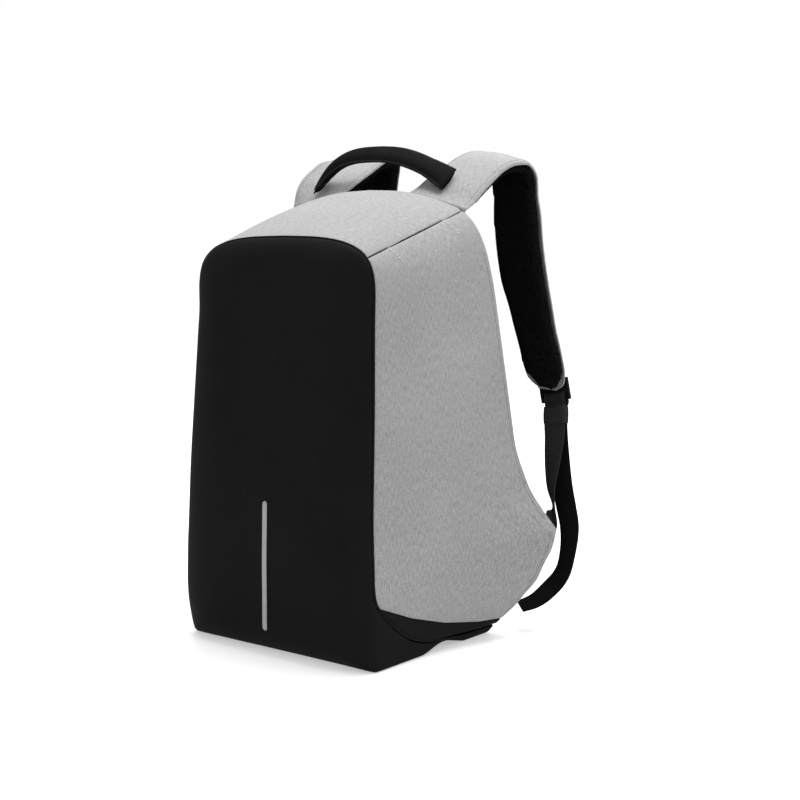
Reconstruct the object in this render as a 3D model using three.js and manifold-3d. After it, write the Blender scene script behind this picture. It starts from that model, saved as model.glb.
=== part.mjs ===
// Anti theft backpack standing on its base: a hollow padded shell sewn from panels, with two
// shoulder straps, a carrying handle, and a buckle and webbing below each strap.
// Millimetres. +X is to the right seen from the front, -Y is the front and +Z is up.
// The origin is on the floor, in the middle of the flat base.

import * as THREE from 'three';
import { mergeVertices } from 'three/addons/utils/BufferGeometryUtils.js';
import Module from 'manifold-3d';

// Driving sizes of the bag
const bodyHeight = 443;
const frontHeight = 396;
const frontHalfWidth = 121.8;
const backHalfWidth = 137;
const wingReach = 43.5;
const baseDepth = 178;
const topDepth = 134;
const wingDepth = 215;
const frontLean = 10.4;
const frontBulge = 16;
const frontRound = 30;
const cornerRound = 50;
const backRound = 5;
const topPuff = 4;
const sidePuff = 3;
const baseArch = 8;
const archFrom = 0.36;
const archTo = 0.82;
const wingCurve = 3;
const topRearSet = 6;
const wallThickness = 3;
const backPadThickness = 10;
const hollowWing = 0.3;

// Seams: the gap between two panels, the piping and where the back and base panels start
const seamGap = 0.4;
const pipingWidth = 2.4;
const pipingProud = 0.9;
const backSeamInset = 4.5;
const frontWrap = 24;

// Reflective strip on the front
const stripWidth = 5;
const stripLength = 124;
const stripBottom = 24.7;
const stripThickness = 0.8;

// Carrying handle
const handleRise = 25;
const handleWidth = 25;
const handleEndWidth = 33;
const handleThickness = 6;
const handleEndThickness = 3;
const handleTilt = 40;
const handleSkew = 0.18;
const handleCurve = 2.6;
const handleFootRow = 2;
const handleSteps = 18;
const handleFeet = { left: 0.56, right: 0.47 };

// Shoulder straps
const strapReach = 105;
const strapThickness = 10;
const strapCoverThickness = 1.6;
const strapEdge = 1.2;
const strapLayerGap = 0.5;
const strapCrown = 3;
const leftStrapLift = 22;
const leftStrapSpread = 7;
const liftCurve = 3;
const bandEdge = 0.92;

// Webbing, buckles and keepers
const webbingWidth = 25;
const webbingThickness = 1.6;
const buckleThickness = 3.6;
const buckleBar = 4;
const buckleSlot = 5.4;
const loopEase = 0.5;
const wingInset = 9;
const keeperHeight = 14;
const keeperThickness = 1.2;
const clearance = 0.4;

// Sections of the bag from the top centre down the right side to the bottom centre. frontX and
// backX are shares of the half widths, frontZ and backZ of the heights, lean of frontLean, wing
// of wingReach, and top and side say how much of the puff a section takes.
const sections = [
  { frontX: 0.000, frontZ: 1.000, lean: 0.18, backX: 0.000, backZ: 1.000, wing: 0.00, top: 1.0, side: 0.0, arch: 0.0 },
  { frontX: 0.300, frontZ: 0.998, lean: 0.18, backX: 0.250, backZ: 0.997, wing: 0.00, top: 1.0, side: 0.0, arch: 0.0 },
  { frontX: 0.500, frontZ: 0.993, lean: 0.18, backX: 0.420, backZ: 0.990, wing: 0.00, top: 0.9, side: 0.0, arch: 0.0 },
  { frontX: 0.660, frontZ: 0.983, lean: 0.18, backX: 0.560, backZ: 0.980, wing: 0.00, top: 0.7, side: 0.0, arch: 0.0 },
  { frontX: 0.790, frontZ: 0.966, lean: 0.18, backX: 0.690, backZ: 0.967, wing: 0.00, top: 0.5, side: 0.0, arch: 0.0 },
  { frontX: 0.870, frontZ: 0.942, lean: 0.18, backX: 0.805, backZ: 0.953, wing: 0.00, top: 0.2, side: 0.1, arch: 0.0 },
  { frontX: 0.908, frontZ: 0.912, lean: 0.18, backX: 0.885, backZ: 0.931, wing: 0.00, top: 0.0, side: 0.4, arch: 0.0 },
  { frontX: 0.920, frontZ: 0.880, lean: 0.18, backX: 0.944, backZ: 0.898, wing: 0.00, top: 0.0, side: 0.7, arch: 0.0 },
  { frontX: 0.920, frontZ: 0.840, lean: 0.18, backX: 0.982, backZ: 0.850, wing: 0.00, top: 0.0, side: 0.9, arch: 0.0 },
  { frontX: 0.928, frontZ: 0.757, lean: 0.00, backX: 1.000, backZ: 0.770, wing: 0.00, top: 0.0, side: 1.0, arch: 0.0 },
  { frontX: 0.948, frontZ: 0.606, lean: -0.34, backX: 1.000, backZ: 0.610, wing: 0.00, top: 0.0, side: 1.0, arch: 0.0 },
  { frontX: 0.966, frontZ: 0.420, lean: -0.80, backX: 1.000, backZ: 0.450, wing: 0.00, top: 0.0, side: 1.0, arch: 0.0 },
  { frontX: 0.980, frontZ: 0.300, lean: -0.94, backX: 0.993, backZ: 0.345, wing: 0.22, top: 0.0, side: 0.8, arch: 0.0 },
  { frontX: 0.992, frontZ: 0.225, lean: -1.00, backX: 0.975, backZ: 0.275, wing: 0.70, top: 0.0, side: 0.6, arch: 0.0 },
  { frontX: 0.998, frontZ: 0.175, lean: -1.00, backX: 0.956, backZ: 0.2415, wing: 1.00, top: 0.0, side: 0.5, arch: 0.0 },
  { frontX: 1.000, frontZ: 0.140, lean: -0.98, backX: 0.940, backZ: 0.195, wing: 1.00, top: 0.0, side: 0.4, arch: 0.0 },
  { frontX: 0.998, frontZ: 0.096, lean: -0.88, backX: 0.920, backZ: 0.131, wing: 0.84, top: 0.0, side: 0.3, arch: 0.0 },
  { frontX: 0.990, frontZ: 0.052, lean: -0.62, backX: 0.890, backZ: 0.070, wing: 0.50, top: 0.0, side: 0.2, arch: 0.0 },
  { frontX: 0.988, frontZ: 0.020, lean: -0.28, backX: 0.868, backZ: 0.018, wing: 0.06, top: 0.0, side: 0.0, arch: 0.5 },
  { frontX: 0.982, frontZ: 0.004, lean: -0.05, backX: 0.855, backZ: 0.004, wing: 0.00, top: 0.0, side: 0.0, arch: 1.0 },
  { frontX: 0.960, frontZ: 0.000, lean: 0.00, backX: 0.830, backZ: 0.000, wing: 0.00, top: 0.0, side: 0.0, arch: 0.8 },
  { frontX: 0.450, frontZ: 0.000, lean: 0.00, backX: 0.430, backZ: 0.000, wing: 0.00, top: 0.0, side: 0.0, arch: 0.0 },
  { frontX: 0.000, frontZ: 0.000, lean: 0.00, backX: 0.000, backZ: 0.000, wing: 0.00, top: 0.0, side: 0.0, arch: 0.0 },
];
const wingTip = sections.findIndex((row) => row.wing === 1);
const wingHeight = bodyHeight * sections[wingTip].backZ;

// Side view of the piping seam, from the top down the front corner and back along the bottom,
// and of the grey side panel's bottom edge: depth in shares of baseDepth behind the front line,
// height in shares of frontHeight.
const pipingPath = [
  { depth: 0.019, height: 1.250 },
  { depth: 0.019, height: 0.858 },
  { depth: -0.011, height: 0.606 },
  { depth: -0.042, height: 0.366 },
  { depth: -0.050, height: 0.190 },
  { depth: -0.034, height: 0.160 },
  { depth: 0.026, height: 0.132 },
  { depth: 0.115, height: 0.093 },
  { depth: 0.246, height: 0.056 },
  { depth: 0.354, height: 0.038 },
  { depth: 0.494, height: 0.028 },
  { depth: 0.713, height: 0.024 },
  { depth: 1.400, height: 0.022 },
];
const sidePanelBottom = [
  { depth: -0.160, height: 0.172 },
  { depth: 0.011, height: 0.1476 },
  { depth: 0.247, height: 0.106 },
  { depth: 0.522, height: 0.0706 },
  { depth: 0.815, height: 0.047 },
  { depth: 0.994, height: 0.040 },
  { depth: 1.400, height: 0.038 },
];
const topSeamFront = { depth: 0.028, height: 0.9535 };
const topSeamRear = { depth: 0.781, height: 0.955 };

// Right shoulder strap, from its base at the top edge of the back to its tip: the inner and outer
// edges of the outer face. X in shares of backHalfWidth, Y of strapReach behind the top edge,
// Z of bodyHeight; lift is the share of leftStrapLift, turn how far the face has turned from up
// to back, and pad the share of strapThickness.
const strapRows = [
  { innerX: 0.328, innerY: -0.050, innerZ: 0.9935, outerX: 0.825, outerY: -0.023, outerZ: 0.9530, lift: 0.08, turn: 0.00, pad: 0.55 },
  { innerX: 0.328, innerY: 0.090, innerZ: 1.0080, outerX: 0.825, outerY: 0.105, outerZ: 0.9700, lift: 0.90, turn: 0.00, pad: 0.75 },
  { innerX: 0.328, innerY: 0.200, innerZ: 1.0240, outerX: 0.825, outerY: 0.200, outerZ: 0.9880, lift: 1.05, turn: 0.00, pad: 1.0 },
  { innerX: 0.335, innerY: 0.457, innerZ: 1.0540, outerX: 0.825, outerY: 0.438, outerZ: 1.0270, lift: 1.00, turn: 0.00, pad: 1.0 },
  { innerX: 0.343, innerY: 0.667, innerZ: 1.0790, outerX: 0.832, outerY: 0.600, outerZ: 1.0500, lift: 0.70, turn: 0.00, pad: 1.0 },
  { innerX: 0.365, innerY: 0.848, innerZ: 1.0930, outerX: 0.847, outerY: 0.762, outerZ: 1.0630, lift: 0.55, turn: 0.17, pad: 1.0 },
  { innerX: 0.394, innerY: 0.971, innerZ: 1.0950, outerX: 0.869, outerY: 0.895, outerZ: 1.0655, lift: 0.40, turn: 0.33, pad: 1.0 },
  { innerX: 0.423, innerY: 1.067, innerZ: 1.0810, outerX: 0.891, outerY: 0.981, outerZ: 1.0540, lift: 0.25, turn: 0.50, pad: 1.0 },
  { innerX: 0.453, innerY: 1.105, innerZ: 1.0520, outerX: 0.912, outerY: 1.019, outerZ: 1.0290, lift: 0.10, turn: 0.67, pad: 1.0 },
  { innerX: 0.474, innerY: 1.105, innerZ: 1.0110, outerX: 0.909, outerY: 1.038, outerZ: 0.9930, lift: 0.0, turn: 0.83, pad: 1.0 },
  { innerX: 0.496, innerY: 1.076, innerZ: 0.9440, outerX: 0.931, outerY: 1.048, outerZ: 0.9440, lift: 0.0, turn: 1.00, pad: 1.0 },
  { innerX: 0.526, innerY: 1.057, innerZ: 0.8760, outerX: 0.953, outerY: 1.048, outerZ: 0.8760, lift: 0.0, turn: 1.00, pad: 1.0 },
  { innerX: 0.584, innerY: 1.038, innerZ: 0.7946, outerX: 1.004, outerY: 1.038, outerZ: 0.7946, lift: 0.0, turn: 1.00, pad: 1.0 },
  { innerX: 0.657, innerY: 1.029, innerZ: 0.7380, outerX: 1.048, outerY: 1.029, outerZ: 0.7380, lift: 0.0, turn: 1.00, pad: 1.0 },
  { innerX: 0.730, innerY: 1.029, innerZ: 0.6907, outerX: 1.081, outerY: 1.029, outerZ: 0.6880, lift: 0.0, turn: 1.00, pad: 1.0 },
  { innerX: 0.803, innerY: 1.029, innerZ: 0.6433, outerX: 1.128, outerY: 1.029, outerZ: 0.6360, lift: 0.0, turn: 1.00, pad: 1.0 },
  { innerX: 0.852, innerY: 1.029, innerZ: 0.6050, outerX: 1.162, outerY: 1.029, outerZ: 0.5830, lift: 0.0, turn: 1.00, pad: 0.9 },
  { innerX: 0.890, innerY: 1.029, innerZ: 0.5770, outerX: 1.150, outerY: 1.029, outerZ: 0.5590, lift: 0.0, turn: 1.00, pad: 0.7 },
  { innerX: 0.945, innerY: 1.029, innerZ: 0.5570, outerX: 1.091, outerY: 1.029, outerZ: 0.5500, lift: 0.0, turn: 1.00, pad: 0.55 },
];

// Right buckle's place, in shares of backHalfWidth, strapReach and bodyHeight, and its slant
const bucklePlace = { x: 1.030, y: 1.095, z: 0.5440 };
const buckleSlant = 12;
const loopLength = 6.4;

// Webbing below the buckle: the leg down to the wing, and the free tail behind it. x in shares of
// backHalfWidth, y of strapReach behind the top edge, z of bodyHeight, and turn in degrees about
// the webbing's own run.
const legPath = [
  { x: 1.075, y: 1.010, z: 0.506, turn: 0 },
  { x: 1.087, y: 0.985, z: 0.472, turn: 0 },
  { x: 1.097, y: 0.965, z: 0.440, turn: 5 },
  { x: 1.102, y: 0.935, z: 0.402, turn: 14 },
  { x: 1.108, y: 0.905, z: 0.370, turn: 24 },
  { x: 1.124, y: 0.865, z: 0.325, turn: 40 },
  { x: 1.160, y: 0.835, z: 0.290, turn: 54 },
];
const tailPath = [
  { x: 1.075, y: 1.050, z: 0.506, turn: 0 },
  { x: 1.088, y: 1.025, z: 0.472, turn: 0 },
  { x: 1.120, y: 1.010, z: 0.388, turn: 0 },
  { x: 1.166, y: 0.990, z: 0.317, turn: 2 },
  { x: 1.202, y: 0.976, z: 0.280, turn: 4 },
  { x: 1.240, y: 0.957, z: 0.238, turn: 8 },
  { x: 1.250, y: 0.914, z: 0.183, turn: 18 },
  { x: 1.210, y: 0.886, z: 0.128, turn: 20 },
  { x: 1.126, y: 0.829, z: 0.091, turn: 12 },
  { x: 1.052, y: 0.743, z: 0.066, turn: 4 },
  { x: 0.973, y: 0.638, z: 0.053, turn: 2 },
];

// Rings of the shell: shares of the front panel's inset from its seam to its middle, of its round
// edge, of the way from the front seam to the back, and of the back's round edge and middle
const frontMiddleRings = [0.3, 0.62];
const frontEdgeRings = [1, 0.62, 0.34, 0.13, 0.03];
const frontEdgeCurve = 0.7;
const frontFaceTop = 0.912;
const frontFaceBottom = 0.175;
const depthRings = [0, 0.12, 0.3, 0.5, 0.68, 0.82, 0.92, 1];
const backEdgeRings = [{ inset: 0.35, rise: 0.75 }, { inset: 1.2, rise: 1 }];
const backMiddleRings = [0.62, 0.3];

const materials = {
  heather: { color: 0xa6a6a8, roughness: 0.95, metalness: 0 },
  black: { color: 0x1e1d1f, roughness: 0.82, metalness: 0 },
  mesh: { color: 0x161618, roughness: 0.9, metalness: 0 },
  reflective: { color: 0x8f9092, roughness: 0.45, metalness: 0.2 },
  grip: { color: 0x1a191b, roughness: 0.6, metalness: 0 },
  webbing: { color: 0x2b2b2e, roughness: 0.85, metalness: 0 },
  plastic: { color: 0x1b1b1d, roughness: 0.45, metalness: 0 },
};

const wasm = await Module();
wasm.setup();

const frontLine = -baseDepth / 2;
const topRearY = frontLine + topDepth + topRearSet;
const degrees = THREE.MathUtils.degToRad;
const mix = THREE.MathUtils.lerp;
const point = (x, y, z) => new THREE.Vector3(x, y, z);

function signedVolume(geometry) {
  const position = geometry.getAttribute('position');
  const index = geometry.getIndex();
  const corners = [point(0, 0, 0), point(0, 0, 0), point(0, 0, 0)];
  let sum = 0;
  for (let i = 0; i < index.count; i += 3) {
    corners.forEach((v, k) => v.fromBufferAttribute(position, index.getX(i + k)));
    sum += corners[0].dot(corners[1].clone().cross(corners[2])) / 6;
  }
  return sum;
}

// A closed body through rings of points, capped at both ends round a middle point
function ringBody(rings, firstMiddle, lastMiddle) {
  const count = rings[0].length;
  const middleOf = (ring) => ring.reduce((sum, p) => sum.add(p), point(0, 0, 0)).divideScalar(count);
  const points = rings.flat();
  const first = points.push(firstMiddle ?? middleOf(rings[0])) - 1;
  const last = points.push(lastMiddle ?? middleOf(rings[rings.length - 1])) - 1;
  const faces = [];
  for (let i = 0; i < count; i += 1) {
    const j = (i + 1) % count;
    faces.push(first, j, i);
    for (let row = 0; row < rings.length - 1; row += 1) {
      const a = row * count;
      const b = a + count;
      faces.push(a + i, a + j, b + j, a + i, b + j, b + i);
    }
    const end = (rings.length - 1) * count;
    faces.push(last, end + i, end + j);
  }
  const geometry = new THREE.BufferGeometry();
  geometry.setAttribute('position', new THREE.Float32BufferAttribute(points.flatMap((p) => p.toArray()), 3));
  geometry.setIndex(faces);
  if (signedVolume(geometry) < 0) {
    geometry.setIndex(faces.reverse());
  }
  return geometry;
}

function toSolid(geometry) {
  const bare = geometry.clone();
  bare.deleteAttribute('normal');
  bare.deleteAttribute('uv');
  const merged = mergeVertices(bare, 1e-4);
  const vertProperties = Float32Array.from(merged.getAttribute('position').array);
  const triVerts = Uint32Array.from(merged.getIndex().array);
  return new wasm.Manifold(new wasm.Mesh({ numProp: 3, vertProperties, triVerts }));
}

function toGeometry(solid) {
  const mesh = solid.getMesh();
  const geometry = new THREE.BufferGeometry();
  geometry.setAttribute('position', new THREE.BufferAttribute(mesh.vertProperties, 3));
  geometry.setIndex(new THREE.BufferAttribute(mesh.triVerts, 1));
  return geometry;
}

// How deep the back reaches at a height: it leans out to the wings, then runs in to the base
function backFaceY(z) {
  if (z > wingHeight) {
    return frontLine + mix(wingDepth, topDepth, (z - wingHeight) / (bodyHeight - wingHeight));
  }
  return frontLine + mix(baseDepth, wingDepth, z / wingHeight);
}

// The bag's outline at a share of the way from the front seam to the back
function outlinePoint(row, share, wing) {
  const front = point(row.frontX * frontHalfWidth, frontLine + row.lean * frontLean, row.frontZ * frontHeight);
  const backZ = row.backZ * bodyHeight;
  const back = point(row.backX * backHalfWidth, backFaceY(backZ) - backRound, backZ);
  const place = front.lerp(back, share);
  const swell = Math.sin(Math.PI * share);
  place.x += row.wing * wing * share ** wingCurve + row.side * sidePuff * swell;
  const archShare = (share - archFrom) / (archTo - archFrom);
  const arch = Math.sin(Math.PI * Math.min(1, Math.max(0, archShare))) ** 2;
  place.z += row.top * topPuff * swell + row.arch * baseArch * arch;
  return place;
}

function fullRing(rightSide) {
  const leftSide = rightSide.slice(1, -1).reverse();
  return [...rightSide, ...leftSide.map((p) => point(-p.x, p.y, p.z))];
}

// How far forward the front panel stands at a height, clear of its rounded edge
function frontFaceY(z) {
  const rows = sections.filter((row) => row.frontZ >= frontFaceBottom && row.frontZ <= frontFaceTop);
  const share = z / frontHeight;
  const above = rows.findLast((row) => row.frontZ >= share) ?? rows[0];
  const below = rows.find((row) => row.frontZ < share) ?? above;
  const span = above.frontZ - below.frontZ;
  const lean = span > 0 ? mix(below.lean, above.lean, (share - below.frontZ) / span) : above.lean;
  return frontLine + lean * frontLean - frontBulge;
}

function insetRing(ring, inset, sideInset, halfWidth, middleZ) {
  return ring.map((p) => {
    const z = middleZ + (p.z - middleZ) * (1 - inset / middleZ);
    return point(p.x * (1 - sideInset / halfWidth), p.y, z);
  });
}

function bagGeometry(wing) {
  const frontRing = fullRing(sections.map((row) => outlinePoint(row, 0, wing)));
  const frontMiddle = frontHeight / 2;
  const rings = [];
  for (const share of frontMiddleRings) {
    const inset = mix(frontMiddle, frontRound, share);
    const ring = insetRing(frontRing, inset, mix(frontHalfWidth, cornerRound, share), frontHalfWidth, frontMiddle);
    rings.push(ring.map((p) => point(p.x, frontFaceY(p.z), p.z)));
  }
  for (const share of frontEdgeRings) {
    const ring = insetRing(frontRing, frontRound * share, cornerRound * share, frontHalfWidth, frontMiddle);
    const forward = (1 - (1 - share) ** 2) ** frontEdgeCurve;
    rings.push(ring.map((p) => point(p.x, mix(p.y, frontFaceY(p.z), forward), p.z)));
  }
  for (const share of depthRings) {
    rings.push(fullRing(sections.map((row) => outlinePoint(row, share, wing))));
  }
  const backMiddle = wingHeight;
  for (const { inset, rise } of backEdgeRings) {
    const length = backRound * inset;
    const lengthwise = length * backMiddle / (bodyHeight / 2);
    const ring = insetRing(rings[rings.length - 1], lengthwise, length, backHalfWidth, backMiddle);
    rings.push(ring.map((p) => point(p.x, backFaceY(p.z) - backRound * (1 - rise), p.z)));
  }
  const backRing = rings[rings.length - 1];
  for (const share of backMiddleRings) {
    const ring = backRing.map((p) => point(p.x * share, 0, mix(backMiddle, p.z, share)));
    rings.push(ring.map((p) => point(p.x, backFaceY(p.z), p.z)));
  }
  const firstMiddle = point(0, frontFaceY(frontMiddle), frontMiddle);
  return ringBody(rings, firstMiddle, point(0, backFaceY(backMiddle), backMiddle));
}

// The bag's solid made larger by a length on every side, or smaller by a negative one
function resizedBag(solid, length, backLength, baseLength) {
  const frontY = frontLine - frontLean - frontBulge;
  const depth = wingDepth + frontLean + frontBulge;
  const scaleX = 1 + length / backHalfWidth;
  const scaleY = 1 + (length + backLength) / depth;
  const scaleZ = 1 + (length + baseLength) / bodyHeight;
  const moveY = frontY - length - frontY * scaleY;
  return solid.scale([scaleX, scaleY, scaleZ]).translate([0, moveY, -baseLength]);
}

// A prism across the whole bag, from an outline in side view
const far = 2 * bodyHeight;
function prism(outline) {
  const shape = new THREE.Shape(outline.map((p) => new THREE.Vector2(p.x, p.y)));
  const geometry = new THREE.ExtrudeGeometry(shape, { depth: 2 * far, bevelEnabled: false });
  geometry.applyMatrix4(new THREE.Matrix4().makeBasis(point(0, 1, 0), point(0, 0, 1), point(1, 0, 0)));
  geometry.translate(-far, 0, 0);
  return toSolid(geometry);
}

// A line moved sideways to its left
function shifted(line, distance) {
  return line.map((p, i) => {
    const before = line[Math.max(i - 1, 0)];
    const after = line[Math.min(i + 1, line.length - 1)];
    const along = after.clone().sub(before).normalize();
    return new THREE.Vector2(p.x - along.y * distance, p.y + along.x * distance);
  });
}

const sidePoint = (row) => new THREE.Vector2(frontLine + row.depth * baseDepth, row.height * frontHeight);
const corner = (y, z) => new THREE.Vector2(y * far, z * far);

function seamLines() {
  const topFront = sidePoint(topSeamFront);
  const topRear = new THREE.Vector2(frontLine + topSeamRear.depth * baseDepth, topSeamRear.height * bodyHeight);
  const along = topRear.clone().sub(topFront);
  const backLine = [bodyHeight * 1.2, wingHeight, -wingHeight * 0.5];
  return {
    piping: pipingPath.map(sidePoint),
    sideBottom: sidePanelBottom.map(sidePoint),
    top: [topFront.clone().sub(along), topRear.clone().add(along)],
    back: backLine.map((z) => new THREE.Vector2(backFaceY(z) - backSeamInset, z)),
  };
}

function bagPanels(add) {
  const whole = toSolid(bagGeometry(wingReach));
  const lining = toSolid(bagGeometry(wingReach * hollowWing));
  const hollow = resizedBag(lining, -wallThickness, -backPadThickness, -wallThickness);
  const shell = whole.subtract(hollow);
  const lines = seamLines();
  const half = seamGap / 2;
  const beside = pipingWidth / 2 + seamGap;
  const cut = (line, distance, ...corners) => prism([...shifted(line, distance), ...corners]);

  // The back pad fills the space between the walls of the other panels
  const behindPad = cut(lines.back, -2 * backPadThickness, corner(1, -1), corner(1, 1));
  const insideBy = (length) => resizedBag(lining, -length, backPadThickness, -length).intersect(behindPad);
  const padSpace = insideBy(wallThickness);
  const walls = shell.subtract(padSpace);

  const outside = cut(lines.piping, -beside, corner(1, -1), corner(-1, -1), corner(-1, 1));
  const inside = cut(lines.piping, beside, corner(1, 1), corner(0, 1));
  const onPiping = cut(lines.piping, -pipingWidth / 2, ...shifted(lines.piping, pipingWidth / 2).reverse());
  const overSide = cut(lines.sideBottom, half, corner(1, 1), corner(-1, 1));
  const underSide = cut(lines.sideBottom, -half, corner(1, -1), corner(-1, -1));
  const overTop = cut(lines.top, half, corner(1, 1), corner(-1, 1));
  const underTop = cut(lines.top, -half, corner(1, -1), corner(-1, -1));
  const aheadOfBack = cut(lines.back, -half, corner(-1, -1), corner(-1, 1));
  const behindBack = cut(lines.back, half, corner(1, -1), corner(1, 1));
  const pad = shell.intersect(insideBy(wallThickness + seamGap));
  const wrapY = frontLine + frontWrap;
  const wrapLine = [new THREE.Vector2(wrapY, -far), new THREE.Vector2(wrapY, far)];
  const aheadOfWrap = cut(wrapLine, half, corner(-1, 1), corner(-1, -1));
  const behindWrap = cut(wrapLine, -half, corner(1, 1), corner(1, -1));

  const front = walls.intersect(outside).intersect(aheadOfWrap);
  const base = walls.intersect(outside).intersect(behindWrap).intersect(aheadOfBack);
  const between = walls.intersect(inside).intersect(aheadOfBack);
  const proud = resizedBag(whole, pipingProud, pipingProud, 0).subtract(hollow).subtract(padSpace);
  const piping = proud.intersect(onPiping).intersect(aheadOfBack);
  add('front_panel', 'black', toGeometry(front));
  add('base_panel', 'black', toGeometry(base));
  add('back_panel', 'mesh', toGeometry(pad.add(shell.intersect(behindBack))));
  add('top_panel', 'heather', toGeometry(between.intersect(overTop)));
  const sides = between.intersect(underTop).intersect(overSide);
  const gussets = between.intersect(underSide);
  for (const [name, sign] of [['right', 1], ['left', -1]]) {
    const ends = point(sign, 0, 0).toArray();
    add(`side_panel_${name}`, 'heather', toGeometry(sides.trimByPlane(ends, seamGap)));
    add(`lower_gusset_${name}`, 'black', toGeometry(gussets.trimByPlane(ends, seamGap)));
  }
  add('front_piping', 'black', toGeometry(piping));

  // The strip is the skin just ahead of the front panel, inside a round-ended outline
  const outline = new THREE.Shape();
  const radius = stripWidth / 2;
  outline.absarc(0, stripBottom + stripLength - radius, radius, 0, Math.PI);
  outline.absarc(0, stripBottom + radius, radius, Math.PI, 2 * Math.PI);
  const bar = new THREE.ExtrudeGeometry(outline, { depth: baseDepth, bevelEnabled: false, curveSegments: 4 });
  bar.rotateX(Math.PI / 2);
  const skin = whole.translate([0, -clearance - stripThickness, 0]).subtract(whole.translate([0, -clearance, 0]));
  add('reflective_strip', 'reflective', toGeometry(skin.intersect(toSolid(bar))));
}

// Which way the strap's outer face looks: up on the arch, then back where it hangs
function strapOut(index) {
  const turn = Math.PI / 2 * strapRows[index].turn;
  return point(0, Math.sin(turn), Math.cos(turn));
}

// The right strap's outer face at a row and a share of the way from the inner to the outer edge
function strapFace(index, share, lift) {
  const row = strapRows[index];
  const inner = point(row.innerX * backHalfWidth, topRearY + row.innerY * strapReach, row.innerZ * bodyHeight);
  const outer = point(row.outerX * backHalfWidth, topRearY + row.outerY * strapReach, row.outerZ * bodyHeight);
  const place = inner.lerp(outer, share);
  const crown = strapCrown * Math.sin(Math.PI * share) * Math.max(0, 2 * row.pad - 1);
  place.z += row.lift * lift * share ** liftCurve;
  place.x += row.lift * (lift / leftStrapLift) * leftStrapSpread * share;
  return place.addScaledVector(strapOut(index), crown);
}

function strapFrame(index, lift) {
  const across = strapFace(index, 1, lift).sub(strapFace(index, 0, lift)).normalize();
  const next = strapFace(Math.min(index + 1, strapRows.length - 1), 0.5, lift);
  const along = next.sub(strapFace(Math.max(index - 1, 0), 0.5, lift)).normalize();
  const normal = across.clone().cross(along).normalize();
  return { across, along, normal };
}

// A layer of the strap between two depths under its outer face. Its long edges are drawn in by
// edge, or stand out by spread, as its ends then do.
function strapLayer(lift, top, bottom, edge, spread = 0) {
  const rings = strapRows.map((row, index) => {
    const { across, along, normal } = strapFrame(index, lift);
    const end = { 0: -1, [strapRows.length - 1]: 1 }[index] ?? 0;
    const at = (share, depth, inset) => strapFace(index, share, lift)
      .addScaledVector(along, end * spread)
      .addScaledVector(normal, -depth)
      .addScaledVector(across, inset);
    const low = bottom(row);
    const middle = mix(top, low, 0.5);
    return [
      at(0, middle, -spread), at(0, top, edge), at(0.25, top, 0), at(0.5, top, 0), at(0.75, top, 0), at(1, top, -edge),
      at(1, middle, spread), at(1, low, -edge), at(0.75, low, 0), at(0.5, low, 0), at(0.25, low, 0), at(0, low, edge),
    ];
  });
  return ringBody(rings);
}

function addStraps(add, name, sign, lift) {
  const cover = strapLayer(lift, 0, () => strapCoverThickness, strapEdge);
  const padTop = strapCoverThickness + strapLayerGap;
  const pad = strapLayer(lift, padTop / 2, (row) => strapThickness * row.pad, strapEdge);
  const room = strapLayer(lift, -padTop, () => padTop, -strapEdge, strapEdge);
  const trimmed = toSolid(pad).subtract(toSolid(room)).decompose();
  trimmed.sort((a, b) => b.volume() - a.volume());
  add(`shoulder_strap_${name}`, 'heather', mirrored(cover, sign));
  add(`strap_pad_${name}`, 'mesh', mirrored(toGeometry(trimmed[0]), sign));
}

function mirrored(geometry, sign) {
  if (sign > 0) {
    return geometry;
  }
  const copy = geometry.clone().scale(-1, 1, 1);
  const faces = Array.from(copy.getIndex().array);
  copy.setIndex(faces.reverse());
  return copy;
}

// A flat band through frames of a middle, an across direction and a normal
function bandBody(frames) {
  return ringBody(frames.map(({ middle, across, normal, width, thickness }) => {
    const at = (u, v) => middle.clone()
      .addScaledVector(across, u * width / 2)
      .addScaledVector(normal, v * thickness / 2);
    const e = bandEdge;
    return [at(-1, 0), at(-e, 1), at(0, 1), at(e, 1), at(1, 0), at(e, -1), at(0, -1), at(-e, -1)];
  }));
}

function handleFoot(sign, lift, share) {
  const face = strapFace(handleFootRow, share, lift);
  const { normal } = strapFrame(handleFootRow, lift);
  face.x *= sign;
  normal.x *= sign;
  return face.addScaledVector(normal, clearance + handleEndThickness / 2);
}

function addHandle(add) {
  const tilt = degrees(handleTilt);
  const across = point(0, Math.cos(tilt), Math.sin(tilt));
  const left = handleFoot(-1, leftStrapLift, handleFeet.left);
  const right = handleFoot(1, 0, handleFeet.right);
  const curve = [];
  for (let i = 0; i <= handleSteps; i += 1) {
    const share = i / handleSteps;
    const side = 2 * share - 1;
    const arch = 1 - Math.abs(side + handleSkew * (1 - side ** 2)) ** handleCurve;
    const middle = left.clone().lerp(right, share);
    middle.z += handleRise * arch;
    curve.push({ middle, arch });
  }
  const frames = curve.map(({ middle, arch }, i) => {
    const before = curve[Math.max(i - 1, 0)].middle;
    const after = curve[Math.min(i + 1, handleSteps)].middle;
    const along = after.clone().sub(before).normalize();
    const grip = Math.min(1, arch * 2);
    return {
      middle,
      across,
      normal: across.clone().cross(along).normalize(),
      width: mix(handleEndWidth, handleWidth, grip),
      thickness: mix(handleEndThickness, handleThickness, grip),
    };
  });
  add('handle', 'grip', bandBody(frames));
}

const lowerPlace = (row) => point(row.x * backHalfWidth, topRearY + row.y * strapReach, row.z * bodyHeight);

function buckleFrame() {
  const slant = degrees(buckleSlant);
  return {
    middle: lowerPlace(bucklePlace),
    across: point(Math.cos(slant), 0, Math.sin(slant)),
    down: point(Math.sin(slant), 0, -Math.cos(slant)),
    normal: point(0, 1, 0),
  };
}

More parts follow.
